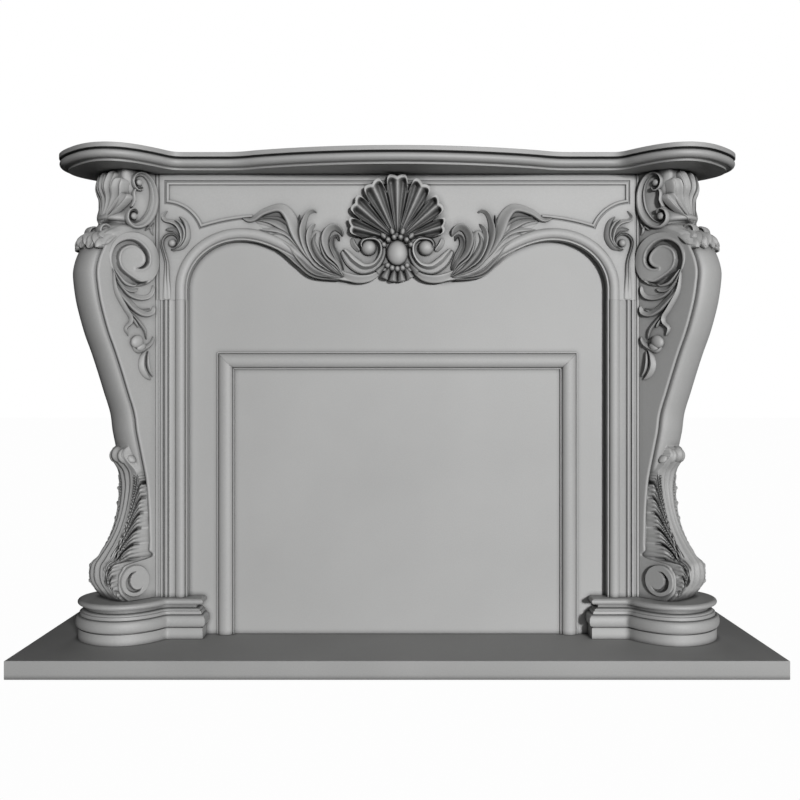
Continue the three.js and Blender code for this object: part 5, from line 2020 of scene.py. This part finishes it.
    def neck_bands(self) -> list[Band]:
        """The long scroll on the side of the neck, with the leaf behind its foot.

        Returns:
            The bands, drawn as (s, z).
        """
        path = [(48, 882), (56, 891), (69, 884), (71, 866), (55, 855), (31, 865), (11, 892), (5, 928),
                (13, 958), (30, 974), (48, 972), (58, 958), (54, 943), (42, 938), (35, 946)]
        return [
            Band(path, (6, 8, 10, 14, 19, 23, 24, 23, 20, 16, 13, 11, 9, 8, 6), (10,), SCROLL,
                 (0.03, 0.03), 100, 19),
            Band([(52, 940), (57, 928), (56, 912), (63, 896)], (5, 7, 7, 5), (7, 8, 8, 7), ROUND,
                 (0.1, 0.1), 24, 9),
            Band([(8, 842), (16, 856), (28, 846)], (4, 8, 3), (4, 6, 4), KEEL, (0.2, 0.2), 20, 9),
            Band([(4, 868), (12, 850), (6, 838)], (4, 7, 3), (4, 5, 4), KEEL, (0.2, 0.2), 20, 9),
        ]

    def build(self) -> None:
        """Joins the body, the volutes and the leaves, and mirrors the left console."""
        shape = self.body()
        self.knob(shape)
        self.rolls(shape)
        carve(shape, self.on_reach(self.leafed_front), self.tongues())
        carve(shape, self.on_reach(self.fan_front), self.blades())
        for side in (-1, 1):
            face = self.on_side(side)
            self.volute(shape, side)
            self.foot_disc(shape, side)
            carve(shape, face, self.neck_bands())
            boss(shape, face, (44, 954), (8, 8), 9)
            boss(shape, face, (57, 876), (8.5, 8.5), 8.5)
        inner = self.on_side(1)
        carve(shape, inner, self.side_bands())
        boss(shape, inner, (50, 590), (16, 14), 13, turned=-35)
        boss(shape, inner, (40, 578), (13, 9), 11, turned=-25)
        settle(shape, "console_left", CARVED, ["left_console"], 42)
        settle(shape.mirrored(), "console_right", CARVED, ["right_console"], 42)


# Studio


@dataclass(frozen=True)
class Lamp:
    """A soft rectangular light.

    Attributes:
        name: Its name.
        place: Where it stands, in metres.
        aim: The point that it faces.
        size: Its width and height.
        power: Its power in watts.
    """

    name: str
    place: tuple[float, float, float]
    aim: tuple[float, float, float]
    size: tuple[float, float]
    power: float

    def build(self) -> None:
        """Makes the light."""
        data = bpy.data.lights.new(self.name, "AREA")
        data.shape = "RECTANGLE"
        data.size, data.size_y = self.size
        data.energy = self.power
        lamp = bpy.data.objects.new(self.name, data)
        lamp.location = self.place
        lamp.rotation_euler = (Vector(self.aim) - Vector(self.place)).to_track_quat("-Z", "Y").to_euler()
        bpy.context.scene.collection.objects.link(lamp)


@dataclass
class Studio:
    """Camera, soft lights, and a plain pale floor and background."""

    eye: tuple[float, float, float] = (0.0063, -2.2786, 0.5883)
    lens: float = 43.456
    floor_size: float = 60.0
    pale: float = 0.985
    lamps: tuple[Lamp, ...] = (
        Lamp("key", (4.0, -11.5, 2.0), (0.0, 0.0, 0.6), (1.3, 1.3), 1480.0),
        Lamp("fill", (-0.4, -9.0, 1.4), (0.0, 0.0, 0.6), (1.2, 1.0), 60.0),
        Lamp("back", (0.0, 8.0, 0.75), (0.0, 0.0, 0.6), (2.0, 1.0), 300.0),
    )

    def camera(self) -> None:
        """Sets a level camera that looks along +Y."""
        data = bpy.data.cameras.new("camera")
        data.lens = self.lens
        data.sensor_width = 36.0
        data.clip_end = 200.0
        camera = bpy.data.objects.new("camera", data)
        camera.location = self.eye
        camera.rotation_euler = (math.pi / 2, 0, 0)
        bpy.context.scene.collection.objects.link(camera)
        bpy.context.scene.camera = camera

    def floor(self) -> None:
        """Lays the floor. It shows pale itself and throws little light back up."""
        half = self.floor_size / 2
        corners = [(-half, -half, 0), (half, -half, 0), (half, half, 0), (-half, half, 0)]
        mesh = bpy.data.meshes.new("floor")
        mesh.from_pydata(corners, [], [(0, 1, 2, 3)])
        floor = bpy.data.objects.new("floor", mesh)
        bpy.context.scene.collection.objects.link(floor)
        material = bpy.data.materials.new("pale_floor")
        material.use_nodes = True
        nodes, links = material.node_tree.nodes, material.node_tree.links
        shader = nodes["Principled BSDF"]
        shader.inputs["Base Color"].default_value = (0.04, 0.04, 0.04, 1)
        shader.inputs["Roughness"].default_value = 0.9
        glow = nodes.new("ShaderNodeEmission")
        glow.inputs["Strength"].default_value = self.pale
        path = nodes.new("ShaderNodeLightPath")
        mixer = nodes.new("ShaderNodeMixShader")
        links.new(path.outputs["Is Camera Ray"], mixer.inputs["Fac"])
        links.new(shader.outputs["BSDF"], mixer.inputs[1])
        links.new(glow.outputs["Emission"], mixer.inputs[2])
        links.new(mixer.outputs["Shader"], nodes["Material Output"].inputs["Surface"])
        floor.data.materials.append(material)

    def world(self) -> None:
        """Sets a background that shows white and gives a faint even light."""
        world = bpy.data.worlds.new("studio")
        bpy.context.scene.world = world
        world.use_nodes = True
        nodes, links = world.node_tree.nodes, world.node_tree.links
        faint = nodes["Background"]
        faint.inputs["Strength"].default_value = 0.01
        shown = nodes.new("ShaderNodeBackground")
        shown.inputs["Color"].default_value = (1, 1, 1, 1)
        shown.inputs["Strength"].default_value = 1.0
        path = nodes.new("ShaderNodeLightPath")
        mixer = nodes.new("ShaderNodeMixShader")
        links.new(path.outputs["Is Camera Ray"], mixer.inputs["Fac"])
        links.new(faint.outputs["Background"], mixer.inputs[1])
        links.new(shown.outputs["Background"], mixer.inputs[2])
        links.new(mixer.outputs["Shader"], nodes["World Output"].inputs["Surface"])

    def build(self) -> None:
        """Builds the studio."""
        self.camera()
        self.floor()
        self.world()
        for lamp in self.lamps:
            lamp.build()
        bpy.context.scene.view_settings.view_transform = "Standard"


def main() -> None:
    """Builds the studio and every part of the chimneypiece."""
    logging.basicConfig(level=logging.INFO, format="%(name)s: %(message)s")
    for kind in (Studio, Hearth, FrameMoulding, Plinth, Jambs, Shelf, BedMould, Frieze, Console):
        LOG.info("building %s", kind.__name__)
        kind().build()


if __name__ == "__main__":
    main()
